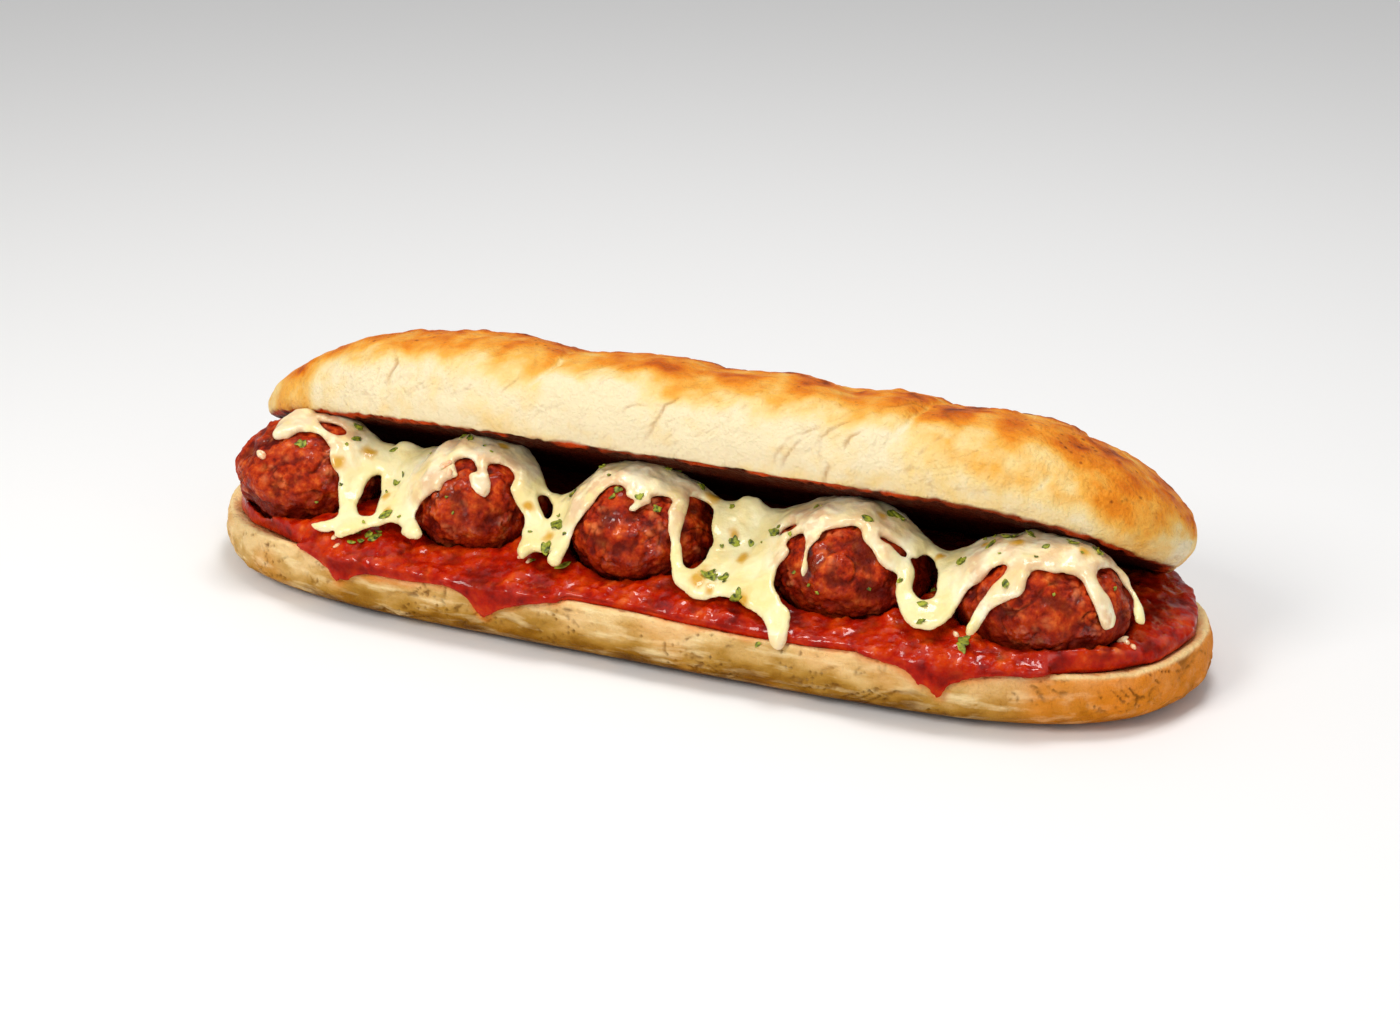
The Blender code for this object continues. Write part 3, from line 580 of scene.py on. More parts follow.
class Finish(Wiring):
    """A material and the nodes that make its colour, gloss and relief."""

    def __init__(self, name):
        self.material = bpy.data.materials.new(name)
        self.material.use_nodes = True
        super().__init__(self.material.node_tree)
        self.shader = self.tree.nodes["Principled BSDF"]
        self.places = self.node("ShaderNodeTexCoord", output="Object")

    def mask(self, name):
        """A number kept on the piece's vertices."""
        return self.node("ShaderNodeAttribute", {"attribute_name": name}, output="Fac")

    def clouds(self, size, detail=3.0, stretch=(1, 1, 1)):
        """Random number round 0.5 with patches of the given size in millimetres."""
        spread = tuple(1 / (size * MM * part) for part in stretch)
        scaled = self.node("ShaderNodeMapping", inputs={"Vector": self.places, "Scale": spread})
        inputs = {"Vector": scaled, "Scale": 1.0, "Detail": detail}
        return self.node("ShaderNodeTexNoise", inputs=inputs)

    def pebbles(self, size):
        """Distance to the nearest scattered point, in the given size in millimetres."""
        inputs = {"Vector": self.places, "Scale": 1 / (size * MM)}
        return self.node("ShaderNodeTexVoronoi", inputs=inputs)

    def colours(self, amount, *stops):
        """A colour that passes through the given stops."""
        return self.node("ShaderNodeValToRGB", {"stops": stops}, {"Fac": amount})

    def blend(self, share, start, end):
        """A colour between two colours."""
        inputs = {0: share, 6: start, 7: end}
        return self.node("ShaderNodeMix", {"data_type": "RGBA"}, inputs, output=2)

    def tint(self, colour, name, share, towards):
        """A colour that goes towards another where a mask is set."""
        return self.blend(self.mask(name) * share, colour, srgb(*towards))

    def relief(self, height, depth, strength):
        """A bump of the given depth in millimetres."""
        inputs = {"Height": height, "Distance": depth * MM, "Strength": strength}
        self.join(self.shader.inputs["Normal"], self.node("ShaderNodeBump", inputs=inputs))

    def surface(self, **values):
        """Set the shader's own sockets, with the words of a socket's name joined by underscores."""
        for name, value in values.items():
            self.join(self.shader.inputs[name.replace("_", " ")], value)

    def soft(self, share, depth, radius, shine, ior=1.42):
        """Let light into the surface, to a depth in millimetres, and set how strongly it shines."""
        self.surface(Subsurface_Weight=share, Subsurface_Scale=depth * MM, Subsurface_Radius=radius)
        self.surface(IOR=ior, Specular_IOR_Level=shine)


# The upper half of the roll


def lid_section(places):
    """Place across the lid, height over its cut, degrees down from its ridge, and the way up."""
    along, back, rise = (places - np.array(LID_HINGE)).T
    end = np.abs(along / LID_HALF_LENGTH) ** 3
    lean = LID_LEAN - np.where(along < 0, *LID_TWISTS) * end
    rise = rise + np.where(along < 0, *LID_DROOPS) * end
    across = back * np.cos(lean) - rise * np.sin(lean) + LID_CUT_HALF_WIDTH
    height = back * np.sin(lean) + rise * np.cos(lean)
    down = np.degrees(np.arctan2(-across / LID_HALF_WIDTH, (height - LID_WIDEST_HEIGHT) / LID_RISE))
    lip = np.interp(along, LID_LIP_PLACES, LID_LIP_DROPS) * np.clip(-across / LID_HALF_WIDTH, 0, 1)
    upward = np.stack((0 * lean, np.sin(lean), np.cos(lean)), axis=1)
    return across, height + lip, down, upward


def score_distance(along, down, score):
    """How far a place is to the right of a score."""
    stops = (-SCORE_END, 0, SCORE_SHOULDER, SCORE_END)
    ridge, shoulder, edge = score
    return along - np.interp(down, stops, (ridge + 4, ridge, shoulder, edge))


def creases(places, along, down, slant, length, width, seed):
    """Fine slanted creases from 0 to 1: 1 along the middle of each line."""
    warp = 2.5 * ripple(places, 9.0, seed + 5)
    line = (along * math.cos(slant) + down * math.sin(slant)) / length
    cross = (down * math.cos(slant) - along * math.sin(slant) + warp) / width
    field = ripple(np.stack((line, cross, 0 * line), axis=1), 1.0, seed)
    return ease(0.075, 0.0, np.abs(field))


def crease_depth(along, arc, line):
    """1 in the middle of a crease along a line through points, and less towards its ends and sides."""
    depth = np.zeros(len(along))
    points = np.array(line, float) * (1, CRUST_ARC)
    length = len(points) - 1
    for index, (start, end) in enumerate(zip(points, points[1:])):
        way = end - start
        share = np.clip(((along - start[0]) * way[0] + (arc - start[1]) * way[1]) / (way @ way), 0, 1)
        away = np.hypot(along - start[0] - share * way[0], arc - start[1] - share * way[1])
        taper = np.sin(math.pi * (index + share) / length) ** 0.6
        depth = np.maximum(depth, taper * np.exp(-(away / CREASE_WIDTH) ** 2))
    return depth


def make_lid():
    """The leaning upper half, with its scored crust and its cut face in painted shade."""
    lid = fine_copy("bread_lid", "lid_crust", LID_GRAIN)
    places, outward = read_places(lid)
    across, height, down, upward = lid_section(places)
    along = places[:, 0]
    arc = down * CRUST_ARC
    cut = ease(0.8, 0.93, -np.sum(outward * upward, axis=1)) * ease(3.0, 1.5, height)
    crust = 1 - cut
    front = ease(*LID_FRONT, down) * crust

    score = np.zeros(len(along))
    lip = np.zeros(len(along))
    for line in SCORES:
        away = score_distance(along - LID_HINGE[0], down, line) + 1.4 * ripple(places, 7.0, line[0])
        score = np.maximum(score, np.exp(-(away / 0.8) ** 2))
        lip = np.maximum(lip, np.exp(-((away + 4.0) / 3.2) ** 2))
    fade = crust * ease(*SCORE_BACK_END, down) * ease(*SCORE_FRONT_END, down)
    fade *= ease(-0.2, 0.1, ripple(places, 16.0, 3))
    wander = bumps(places, LID_WANDER)
    crease = np.zeros(len(along))
    for line in CRUST_CREASES:
        crease = np.maximum(crease, crease_depth(along + wander, arc + wander, line))
    crease *= crust * ease(-0.6, 0.4, ripple(places, 4.0, 9))
    fine = creases(places, along, arc, math.radians(-48), 12.0, 2.8, 11)
    fine *= front * ease(-0.1, 0.3, ripple(places, 15.0, 17))
    blister = np.maximum(0, ripple(places, 3.2, 31)) * ease(*LID_BLISTERS, np.abs(down + 8)) * crust

    lift = bumps(places, LID_LUMPS)
    lift += (LIP_RISE * lip * fade + BLISTER_RISE * blister - SCORE_DEPTH * score * fade
             - CREASE_DEPTH * crease - LID_FINE_DEPTH * fine)
    near, _ = grains(places, 2.6, 47)
    lift = lift * crust - LID_PORE_DEPTH * ease(*PORE, near) * cut
    torn = 0.7 * ripple(places, 2.4, 49) * np.exp(-(height / 1.6) ** 2) * ease(0, -20, across)
    torn -= HINGE_SINK * ease(20, 30, across) * ease(4, 0, height)
    write_places(lid, places + outward * lift[:, None] + upward * torn[:, None])

    ridge = ease(*LID_BAKE, np.abs(down + 3))
    ends = np.maximum(0.45 * ease(*LID_RIGHT_BAKE, along), 0.62 * ease(*LID_LEFT_BAKE, along))
    ends *= 0.5 + 0.5 * ease(108, 74, down)
    bake = np.maximum(0.67 * ridge, ends) + 0.24 * ripple(places, 24.0, 51) * (1.2 - ridge)
    bake += 0.26 * ripple(places, 10.0, 53) * (0.45 + np.maximum(ridge, ends)) - 0.02
    bake += 0.1 * lip * fade - 0.2 * score * fade + 0.35 * blister * ease(70, 45, down)
    bake += 0.1 * ripple(places, 4.0, 55) * ease(100, 60, down)
    edge = ease(1.5, 0.2, height + 0.7 * ripple(places, 4.0, 57)) * crust
    rim = point_tree(places[(cut > 0.3) & (cut < 0.7)])
    inward = np.array([rim.find(point)[2] for point in places.tolist()])
    soaked = ease(-0.15, 0.25, ripple(places, 16.0, 59))
    red = ease(3.4, 1.2, inward + 1.4 * ripple(places, 4.0, 61)) * (0.35 + 0.65 * soaked)
    # Painted shade in the creases.
    line = np.maximum(crease, 0.3 * fine)
    add_masks(lid, bake=bake, crease=line, edge=edge, cut=cut, red=red * cut)
    hand_over(lid, crust_finish(), "bread_lid", "bread_lid")
    return lid


def crust_finish():
    """Golden baked crust, paler in front, with brown specks, and a cut face in dark painted shade, red
    with sauce near its rim.
    """
    finish = Finish("golden crust")
    bake = finish.mask("bake") + (finish.clouds(5.0, 6.0) - 0.5) * 0.48
    bake = bake + (finish.clouds(14.0, 4.0) - 0.5) * 0.4
    skin = finish.colours(
        bake,
        (0.0, (241, 224, 184)),
        (0.2, (242, 211, 142)),
        (0.4, (240, 178, 78)),
        (0.58, (234, 142, 34)),
        (0.78, (206, 98, 10)),
        (1.0, (116, 42, 4)),
    )
    specks = finish.pebbles(2.4).between(0.3, 0.1) * finish.clouds(9.0, 5.0).between(0.48, 0.58)
    skin = finish.blend(specks * bake.between(0.42, 0.6) * 0.75, skin, srgb(112, 40, 6))
    # Painted shade in the creases.
    skin = finish.tint(skin, "crease", 0.6, (166, 104, 40))
    skin = finish.tint(skin, "edge", 0.7, (186, 106, 40))
    # Painted shade: the cut face is dark as the shade under the upper half, and red with sauce near its
    # rim.
    dark = finish.blend(finish.mask("red"), srgb(70, 20, 6), srgb(206, 68, 16))
    skin = finish.blend(finish.mask("cut"), skin, dark)
    rough = finish.clouds(6.0) * 0.2 + 0.4
    finish.surface(Base_Color=skin, Roughness=rough)
    finish.soft(0.12, 2, (1.0, 0.55, 0.25), 0.12)
    finish.relief(finish.clouds(0.9, 5.0) + finish.clouds(4.0, 4.0) * 2.2, 0.9, 0.75)
    return finish.material


# The lower half of the roll


def make_base(sauce):
    """The lower half, with a wrinkled wall, an oily stain under the sauce and a cut rim."""
    base = fine_copy("bread_base", "base_crust", BASE_GRAIN)
    places, outward = read_places(base)
    along, across, height = places.T
    wall = ease(0.75, 0.35, outward[:, 2]) * ease(-0.9, -0.6, outward[:, 2])
    fine = creases(places, along, height, math.radians(24), 15.0, 2.2, 71)
    fine *= wall * ease(-0.05, 0.25, ripple(places, 20.0, 73))
    small = creases(places, along, height, math.radians(-30), 7.0, 1.9, 79)
    small *= wall * ease(0.05, 0.3, ripple(places, 13.0, 83))
    near, _ = grains(places, 2.8, 89)
    cut = ease(0.4, 0.75, outward[:, 2])
    lift = bumps(places, BASE_LUMPS) * wall
    lift -= (BASE_FINE_DEPTH * fine + BASE_SMALL_DEPTH * small
             + BASE_PORE_DEPTH * ease(*PORE, near) * cut)
    write_places(base, places + outward * lift[:, None])

    # Browner towards the foot and the right end, partly baking and partly painted shade, and paler at
    # the left end as painted light.
    bake = 1 - height / BASE_BAKE_AND_SHADE + bumps(places, BASE_PATCHES)
    bake += 0.08 * ease(*BASE_RIGHT_BAKE_AND_SHADE, along) - 0.3 * ease(*BASE_LEFT_PAINTED_LIGHT, along)
    orange = ease(*BASE_ORANGE, along) + 0.25 * ease(0.0, 0.6, ripple(places, 14.0, 105))
    away = distance_to(search_tree(sauce), places)
    stain = ease(2.2, 0.1, away + 1.8 * ripple(places, 6.0, 107))
    # Painted shade in the creases.
    line = np.maximum(fine, small)
    add_masks(base, bake=bake, orange=orange, crease=line, cut=cut, stain=stain)
    hand_over(base, base_finish(), "bread_base", "bread_base")
    return base


def base_finish():
    """Cream crust that turns olive brown towards the foot, partly baking and partly painted shade, and
    orange at the right end.
    """
    finish = Finish("baked underside crust")
    bake = finish.mask("bake") + (finish.clouds(4.0, 5.0, stretch=(2.0, 1.0, 1.0)) - 0.5) * 0.9
    skin = finish.colours(
        bake,
        (0.0, (234, 198, 138)),
        (0.25, (210, 168, 100)),
        (0.5, (178, 132, 54)),
        (0.75, (140, 92, 12)),
        (1.0, (92, 52, 0)),
    )
    streaks = finish.clouds(3.0, 4.0, stretch=(4.0, 1.0, 0.8)).between(0.52, 0.7)
    skin = finish.blend(streaks * bake.between(1.0, 0.4) * 0.7, skin, srgb(250, 226, 172))
    orange = finish.mask("orange") * bake.between(1.3, 0.45)
    skin = finish.blend(orange * 0.82, skin, srgb(228, 128, 18))
    # Painted shade in the creases.
    skin = finish.tint(skin, "crease", 0.7, (110, 66, 18))
    crumb = finish.blend(finish.clouds(2.0), srgb(232, 190, 122), srgb(248, 222, 168))
    skin = finish.blend(finish.mask("cut"), skin, crumb)
    skin = finish.tint(skin, "stain", 0.6, (224, 118, 30))
    rough = finish.mask("stain") * -0.2 + finish.clouds(6.0) * 0.2 + 0.48
    finish.surface(Base_Color=skin, Roughness=rough)
    finish.soft(0.1, 2, (1.0, 0.55, 0.25), 0.08)
    wrinkles = finish.clouds(3.5, 5.0, stretch=(3.0, 1.0, 1.0))
    finish.relief(finish.clouds(0.9, 5.0) + wrinkles * 2.5, 0.8, 0.8)
    return finish.material


# The filling


def make_sauce(meat):
    """The bed of crushed tomato sauce, with painted shade in its hollows, round the meatballs and under
    the lid, and wet round the meatballs.
    """
    sauce = fine_copy("tomato_sauce", "tomato_sauce_bed", SAUCE_GRAIN, levels=1)
    places, outward = read_places(sauce)
    top = ease(0.1, 0.6, outward[:, 2])
    near, _ = grains(places + 1.4 * ripple(places, 3.0, 5)[:, None], 3.4, 7)
    lumps = (1 - ease(0.0, 0.75, near)) * ease(-0.15, 0.25, ripple(places, 8.0, 13)) * top
    lift = 0.5 * ripple(places, 7.0, 15) + 0.32 * ripple(places, 2.8, 17) * (0.4 + 0.6 * top)
    lift += 0.8 * lumps + 0.24 * ripple(places, 1.3, 19) * top - 0.2
    lift *= ease(-0.6, -0.1, outward[:, 2])
    raised = places + outward * lift[:, None]
    for middle, drop, out in SAUCE_DRIPS:
        share = np.exp(-((places[:, 0] - middle) / DRIP_WIDTH) ** 2) * ease(*DRIP_HEIGHTS, places[:, 2])
        raised -= np.stack((0 * share, out * share, drop * share), axis=1) * (places[:, 1:2] < 0)
    bread = search_tree(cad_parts["bread_base"])
    found = [bread.find_nearest(point) for point in raised.tolist()]
    crust = np.array([hit[0] - SAUCE_SINK * hit[1] for hit in found])
    hug = ease(0.8, 0.3, outward[:, 2]) * ease(*SAUCE_HUG, np.array([hit[3] for hit in found]))
    write_places(sauce, raised + (crust - raised) * hug[:, None])
    # Painted shade where the sauce meets the meatballs; the sauce is also wetter there.
    seam = ease(2.0, 0.4, distance_to(meat, places))
    # Painted shade towards the back, under the upper half, and little of it at the right end.
    shade = ease(*SAUCE_SHADE, places[:, 1] + 3 * ripple(places, 9.0, 21))
    shade *= 1 - 0.75 * ease(*SAUCE_SHADE_FADE, places[:, 0])
    # Paler crushed tomato on raised lumps and upward faces, partly painted highlight.
    pulp = lumps + 0.5 * ease(0.1, 0.5, ripple(places, 4.0, 23)) * top
    # Painted shade in the hollows and under the upper half.
    add_masks(sauce, seam=seam, deep=ease(0.0, -0.7, lift) + shade, top=top, pulp=pulp)
    hand_over(sauce, sauce_finish(), "tomato_sauce", "tomato_sauce")
    return sauce


def sauce_finish():
    """Crushed tomato, orange red with paler crushed lumps that are partly painted highlight, and
    painted shade in its hollows, under the lid and round the meatballs, where it is also wetter.
    """
    finish = Finish("tomato sauce")
    # Paler where the crushed lumps are, partly painted highlight.
    patch = finish.clouds(6.0) * 0.6 + finish.clouds(2.0, 4.0) * 0.35 + finish.mask("pulp") * 0.12
    red = finish.colours(
        patch,
        (0.3, (120, 4, 0)),
        (0.46, (174, 24, 0)),
        (0.6, (198, 54, 2)),
        (0.78, (228, 112, 48)),
    )
    # Painted shade in the hollows and under the upper half, then round the meatballs.
    red = finish.tint(red, "deep", 0.75, (84, 8, 0))
    red = finish.tint(red, "seam", 0.75, (72, 6, 0))
    rough = finish.clouds(2.5) * 0.3 + finish.mask("seam") * -0.1 + finish.mask("deep") * 0.2 + 0.12
    wet = finish.clouds(3.4, 2.0).between(0.48, 0.56) * finish.mask("top") * (1 - finish.mask("deep"))
    finish.surface(Base_Color=red, Roughness=rough, Coat_Weight=wet, Coat_Roughness=0.05)
    finish.soft(0.15, 1.2, (1.0, 0.2, 0.08), 0.15, ior=1.4)
    finish.relief(finish.clouds(2.2), 0.7, 0.7)
    return finish.material


def make_meatball(index):
    """One crumbly meatball with a glaze of sauce."""
    ball = fine_copy(BALLS[index], f"{BALLS[index]}_meat", BALL_GRAIN, rounds=6)
    places, outward = read_places(ball)
    seed = 10 * index
    near, second = grains(places + 1.2 * ripple(places, 2.6, seed)[:, None], 2.6, seed + 1)
    patch = ease(-0.25, 0.25, ripple(places, 9.0, seed + 2))
    lumps = (1 - ease(0.0, 0.8, near)) * patch
    cracks = ease(0.08, 0.0, np.abs(ripple(places, 8.0, seed + 3)))
    cracks *= ease(0.1, 0.35, ripple(places, 11.0, seed + 4))
    lift = bumps(places, ((1.0, 5.5, seed + 5), (0.5, 2.4, seed + 6), (0.16, 1.0, seed + 8)))
    lift += 0.6 * lumps - 0.3
    lift -= 0.25 * ease(0.2, 0.0, second - near) * patch + 0.6 * cracks
    write_places(ball, places + outward * lift[:, None])
    # Painted shade towards the bottom, where the meatball sits in the sauce.
    low = ease(*MEAT_LOW_SHADE, places[:, 2] + 2.0 * ripple(places, 5.0, seed + 6))
    wet = ease(0.0, 0.4, ripple(places, 6.0, seed + 7)) * (1 - 0.6 * low)
    # Orange crumbs on the raised lumps, partly painted highlight.
    crumb = lumps * ease(0.0, 0.3, ripple(places, 3.4, seed + 9))
    # Painted shade in the hollows.
    add_masks(ball, deep=ease(0.0, -0.8, lift), wet=wet, low=low, crumb=crumb)
    hand_over(ball, meat_finish(index), "meatball", BALLS[index])
    return ball


def meat_finish(index):
    """Browned minced meat with orange crumbs that are partly painted highlight, under a red glaze, with
    painted shade in its hollows and towards the sauce.
    """
    finish = Finish(f"glazed meat {index + 1}")
    patch = finish.clouds(4.0 + 0.3 * index) * 0.62 + finish.clouds(1.4, 4.0) * 0.48 - 0.05
    meat = finish.colours(
        patch,
        (0.34, (98, 8, 0)),
        (0.46, (158, 34, 0)),
        (0.56, (188, 58, 6)),
        (0.66, (216, 94, 30)),
        (0.76, (236, 142, 78)),
    )
    # Orange crumbs, partly painted highlight.
    meat = finish.tint(meat, "crumb", 0.6, (236, 138, 82))
    # Painted shade in the hollows, then towards the bottom.
    meat = finish.tint(meat, "deep", 0.7, (66, 6, 0))
    meat = finish.tint(meat, "low", 0.6, (100, 10, 0))
    rough = finish.mask("wet") * -0.22 + finish.clouds(1.6) * 0.3 + 0.36
    glaze = finish.clouds(2.6, 2.0).between(0.46, 0.54) * finish.mask("wet") * 0.9
    finish.surface(Base_Color=meat, Roughness=rough, Coat_Weight=glaze, Coat_Roughness=0.08)
    finish.soft(0.08, 1.2, (1.0, 0.25, 0.1), 0.15)
    finish.relief(finish.clouds(1.3, 4.0), 0.8, 0.8)
    return finish.material


# Melted cheese


def round_place(along, turn, reach):
    """Places at given distances from the drape's line, at an angle in degrees up from the front."""
    across = DRAPE_ACROSS - reach * np.cos(np.radians(turn))
    height = DRAPE_HEIGHT + reach * np.sin(np.radians(turn))
    return np.stack((along, across, height), axis=-1)


def first_hits(tree, starts, ways):
    """How far it is from each start to what lies its way, at most DRAPE_OUTSIDE."""
    rays = zip(starts.reshape(-1, 3).tolist(), ways.reshape(-1, 3).tolist())
    found = [tree.ray_cast(start, way, DRAPE_OUTSIDE)[3] or DRAPE_OUTSIDE for start, way in rays]
    return np.array(found).reshape(starts.shape[:-1])


def outside_reach(tree, along, turn):
    """How far a filling reaches from the drape's line, met from outside."""
    inward = round_place(along, turn, 0) - round_place(along, turn, 1)
    return DRAPE_OUTSIDE - first_hits(tree, round_place(along, turn, DRAPE_OUTSIDE), inward)


def inside_reach(tree, along, turn):
    """How far it is from the drape's line to what covers it."""
    middle = round_place(along, turn, 0)
    return first_hits(tree, middle, round_place(along, turn, 1) - middle)


def bridge_reach(along, turn):
    """How far the cheese's bridges reach from the drape's line, in a smooth hump round each."""
    found = np.zeros_like(along)
    for middle, middle_turn, reach in CHEESE_BRIDGES:
        away = np.hypot((along - middle) / BRIDGE_SPREAD[0], (turn - middle_turn) / BRIDGE_SPREAD[1])
        found = np.maximum(found, reach * np.exp(-away ** 2))
    return found


def sag(reach, rounds):
    """Let a cloth sink on to what is under it, for a number of rounds."""
    cloth = reach.copy()
    for _ in range(rounds):
        wide = np.pad(cloth, 1, mode="edge")
        mean = (wide[:-2, 1:-1] + wide[2:, 1:-1] + wide[1:-1, :-2] + wide[1:-1, 2:]) / 4
        cloth = np.maximum(reach, mean)
    return cloth


def soften(points, rounds=2):
    """Round off the corners of a closed outline."""
    points = np.array(points, float)
    for _ in range(rounds):
        after = np.roll(points, -1, axis=0)
        pair = (0.75 * points + 0.25 * after, 0.25 * points + 0.75 * after)
        points = np.stack(pair, axis=1).reshape(-1, 2)
    return points


def within(outline, along, turn):
    """Whether each place lies inside a closed outline."""
    found = np.zeros(along.shape, bool)
    for (x_a, y_a), (x_b, y_b) in zip(outline, np.roll(outline, -1, axis=0)):
        crossed = (y_a > turn) != (y_b > turn)
        found ^= crossed & (along < x_a + (turn - y_a) * (x_b - x_a) / ((y_b - y_a) or 1.0))
    return found


def sample(field, along, turn):
    """Values between the points of a field on the drape."""
    row = np.clip((along - DRAPE_ALONG[0]) / DRAPE_STEP, 0, field.shape[0] - 1.001)
    column = np.clip((turn - DRAPE_TURNS[0]) / DRAPE_TURN, 0, field.shape[1] - 1.001)
    i, j = row.astype(int), column.astype(int)
    u, v = row - i, column - j
    left = field[i, j] * (1 - v) + field[i, j + 1] * v
    return left * (1 - u) + (field[i + 1, j] * (1 - v) + field[i + 1, j + 1] * v) * u


def edge_points(outlines, cloth):
    """Points close together along outlines, each with its place along the roll, angle and reach."""
    found = []
    for outline in outlines:
        for start, end in zip(outline, np.roll(outline, -1, axis=0)):
            length = np.hypot(end[0] - start[0], (end[1] - start[1]) * DRAPE_ARC)
            count = max(1, math.ceil(length / EDGE_STEP))
            found += [start + (end - start) * step / count for step in range(count)]
    along, turn = np.array(found).T
    return np.stack((along, turn, sample(cloth, along, turn)), axis=1)


def on_cloth(cloth, spots):
    """Middle and radius of spots that are given as place along the roll, degrees round and radius."""
    along, turn, radius = np.array(spots, float).T
    return zip(round_place(along, turn, sample(cloth, along, turn)), radius)


def settled_cloth(reach, lid, along, turn):
    """How far the cheese reaches from the drape's line, sunk on to the filling and its bridges."""
    roof = inside_reach(search_tree(lid), along, turn)
    cloth = sag(np.maximum(reach + DRAPE_LIFT, bridge_reach(along, turn)), DRAPE_ROUNDS)
    return np.maximum(np.minimum(cloth, roof - CHEESE_THICKNESS), reach)


def pin_edge(places, covered, edge_places):
    """Move the points just outside the cheese to its edge, and find how far in the others are."""
    near = np.zeros_like(covered)
    for shift_i in (-1, 0, 1):
        for shift_j in (-1, 0, 1):
            near |= np.roll(covered, (shift_i, shift_j), (0, 1))
    tree = point_tree(edge_places)
    to_edge = np.zeros(covered.shape)
    for i, j in zip(*np.nonzero(near)):
        _, index, away = tree.find(places[i, j].tolist())
        if covered[i, j]:
            to_edge[i, j] = away
        else:
            places[i, j] = edge_places[index]
    return near, to_edge


def sheet_outward(places, along, turn):
    """The outward direction at each point of a sheet round the drape's line."""
    outward = np.cross(np.gradient(places, axis=0), np.gradient(places, axis=1))
    outward /= np.linalg.norm(outward, axis=-1, keepdims=True) + 1e-9
    away = places - round_place(along, turn, 0)
    return outward * np.sign(np.sum(outward * away, axis=-1, keepdims=True))


def close_sheet(top, bottom, covered, near):
    """A closed body between two sheets that meet at their edges."""
    count = int(near.sum())
    numbers = np.full(near.shape, -1)
    numbers[near] = np.arange(count)
    under = numbers.copy()
    under[covered] = count + np.arange(int(covered.sum()))
    places = np.concatenate((top[near], bottom[covered]))
    used = np.zeros(near.shape, bool)
    used[:-1, :-1] = covered[:-1, :-1] | covered[1:, :-1] | covered[:-1, 1:] | covered[1:, 1:]
    i, j = np.nonzero(used)
    square = ((i, j), (i, j + 1), (i + 1, j + 1), (i + 1, j))
    faces = np.stack([numbers[corner] for corner in square], axis=1)
    other = np.stack([under[corner] for corner in (square[0], *square[:0:-1])], axis=1)
    mesh = bpy.data.meshes.new("melted_cheese_blanket")
    mesh.from_pydata((places * MM).tolist(), [], np.concatenate((faces, other)).tolist())
    bm = bmesh.new()
    bm.from_mesh(mesh)
    bmesh.ops.recalc_face_normals(bm, faces=bm.faces)
    bm.to_mesh(mesh)
    bm.free()
    return add_item("melted_cheese_blanket", mesh)


def cheese_sheet(cloth, along, turn):
    """The cheese with plain faces, and how thick it is over the drape."""
    outlines = [soften(outline) for outline in (CHEESE_FRONT + CHEESE_BACK, *CHEESE_WINDOWS)]
    covered = within(outlines[0], along, turn)
    for window in outlines[1:]:
        covered &= ~within(window, along, turn)
    places = round_place(along, turn, cloth)
    near, to_edge = pin_edge(places, covered, round_place(*edge_points(outlines, cloth).T))

    bead = np.zeros_like(cloth)
    for middle, radius in on_cloth(cloth, CHEESE_BEADS):
        bead += np.exp(-np.sum((places - middle) ** 2, axis=-1) / radius ** 2)
    swell = ripple(places.reshape(-1, 3), 9.0, 3).reshape(cloth.shape)
    lip = np.sqrt(1 - (1 - np.minimum(to_edge / CHEESE_LIP, 1)) ** 2)
    thick = (CHEESE_THICKNESS * (1 + 0.45 * swell) + 0.7 * bead) * lip
    outward = sheet_outward(places, along, turn)
    top = places + outward * thick[..., None]
    bottom = places - outward * CHEESE_UNDERSIDE * lip[..., None]
    return close_sheet(top, bottom, covered, near), thick


def make_cheese(filling, lid):
    """The melted cheese: one soft blanket with strands, bare spots, drips and pools."""
    along, turn = np.meshgrid(DRAPE_ALONG, DRAPE_TURNS, indexing="ij")
    reach = outside_reach(filling, along, turn)
    cloth = settled_cloth(reach, lid, along, turn)
    cheese, thick = cheese_sheet(cloth, along, turn)
    fuse(cheese, CHEESE_GRAIN, 3)

    places, outward = read_places(cheese)
    along, back, rise = (places - (0, DRAPE_ACROSS, DRAPE_HEIGHT)).T
    turn = np.degrees(np.arctan2(rise, -back))
    flow = np.stack((4 * along, DRAPE_ARC * turn, 0 * turn), axis=1)
    lift = 0.5 * ripple(flow, 12.0, 4) + bumps(places, CHEESE_LUMPS)
    write_places(cheese, places + outward * lift[:, None])

    spread = sample(cloth - reach, along, turn)
    rim = ease(1.3, 0.4, sample(thick, along, turn))
    thin = ease(2.6, 0.9, spread) * (0.45 + 0.9 * ripple(places, 6.0, 11) + 0.6 * rim)
    oil = np.zeros(len(places))
    wander = 0.5 * ripple(places, 2.2, 9)
    for spot_along, spot_turn, radius in OIL:
        away = np.hypot(along - spot_along, np.radians(turn - spot_turn) * np.hypot(back, rise))
        oil = np.maximum(oil, ease(1.4, 0.3, away / radius + wander))
    add_masks(cheese, thin=thin, web=ease(1.2, 5.0, spread), oil=oil)
    hand_over(cheese, cheese_finish(), "melted_cheese", "melted_cheese")
    return cheese


def cheese_finish():
    """Soft creamy cheese, pinkish where it is thin over meat, with golden oil."""
    finish = Finish("melted cheese")
    patch = finish.clouds(7.0).between(0.35, 0.65)
    cream = finish.blend(patch, srgb(242, 218, 154), srgb(252, 242, 208))
    cream = finish.tint(cream, "web", 0.5, (244, 230, 156))
    film = finish.mask("thin") * finish.clouds(3.0).between(0.36, 0.52)
    cream = finish.blend(film * 0.9, cream, srgb(224, 184, 138))
    cream = finish.tint(cream, "oil", 0.9, (212, 154, 0))
    rough = finish.mask("oil") * -0.12 + finish.clouds(3.0) * 0.16 + 0.24
    finish.surface(Base_Color=cream, Roughness=rough, Coat_Weight=0.6, Coat_Roughness=0.06)
    finish.soft(0.2, 1.6, (1.0, 0.6, 0.3), 0.4)
    finish.relief(finish.clouds(2.2), 0.6, 0.6)
    return finish.material


# Herbs and onion


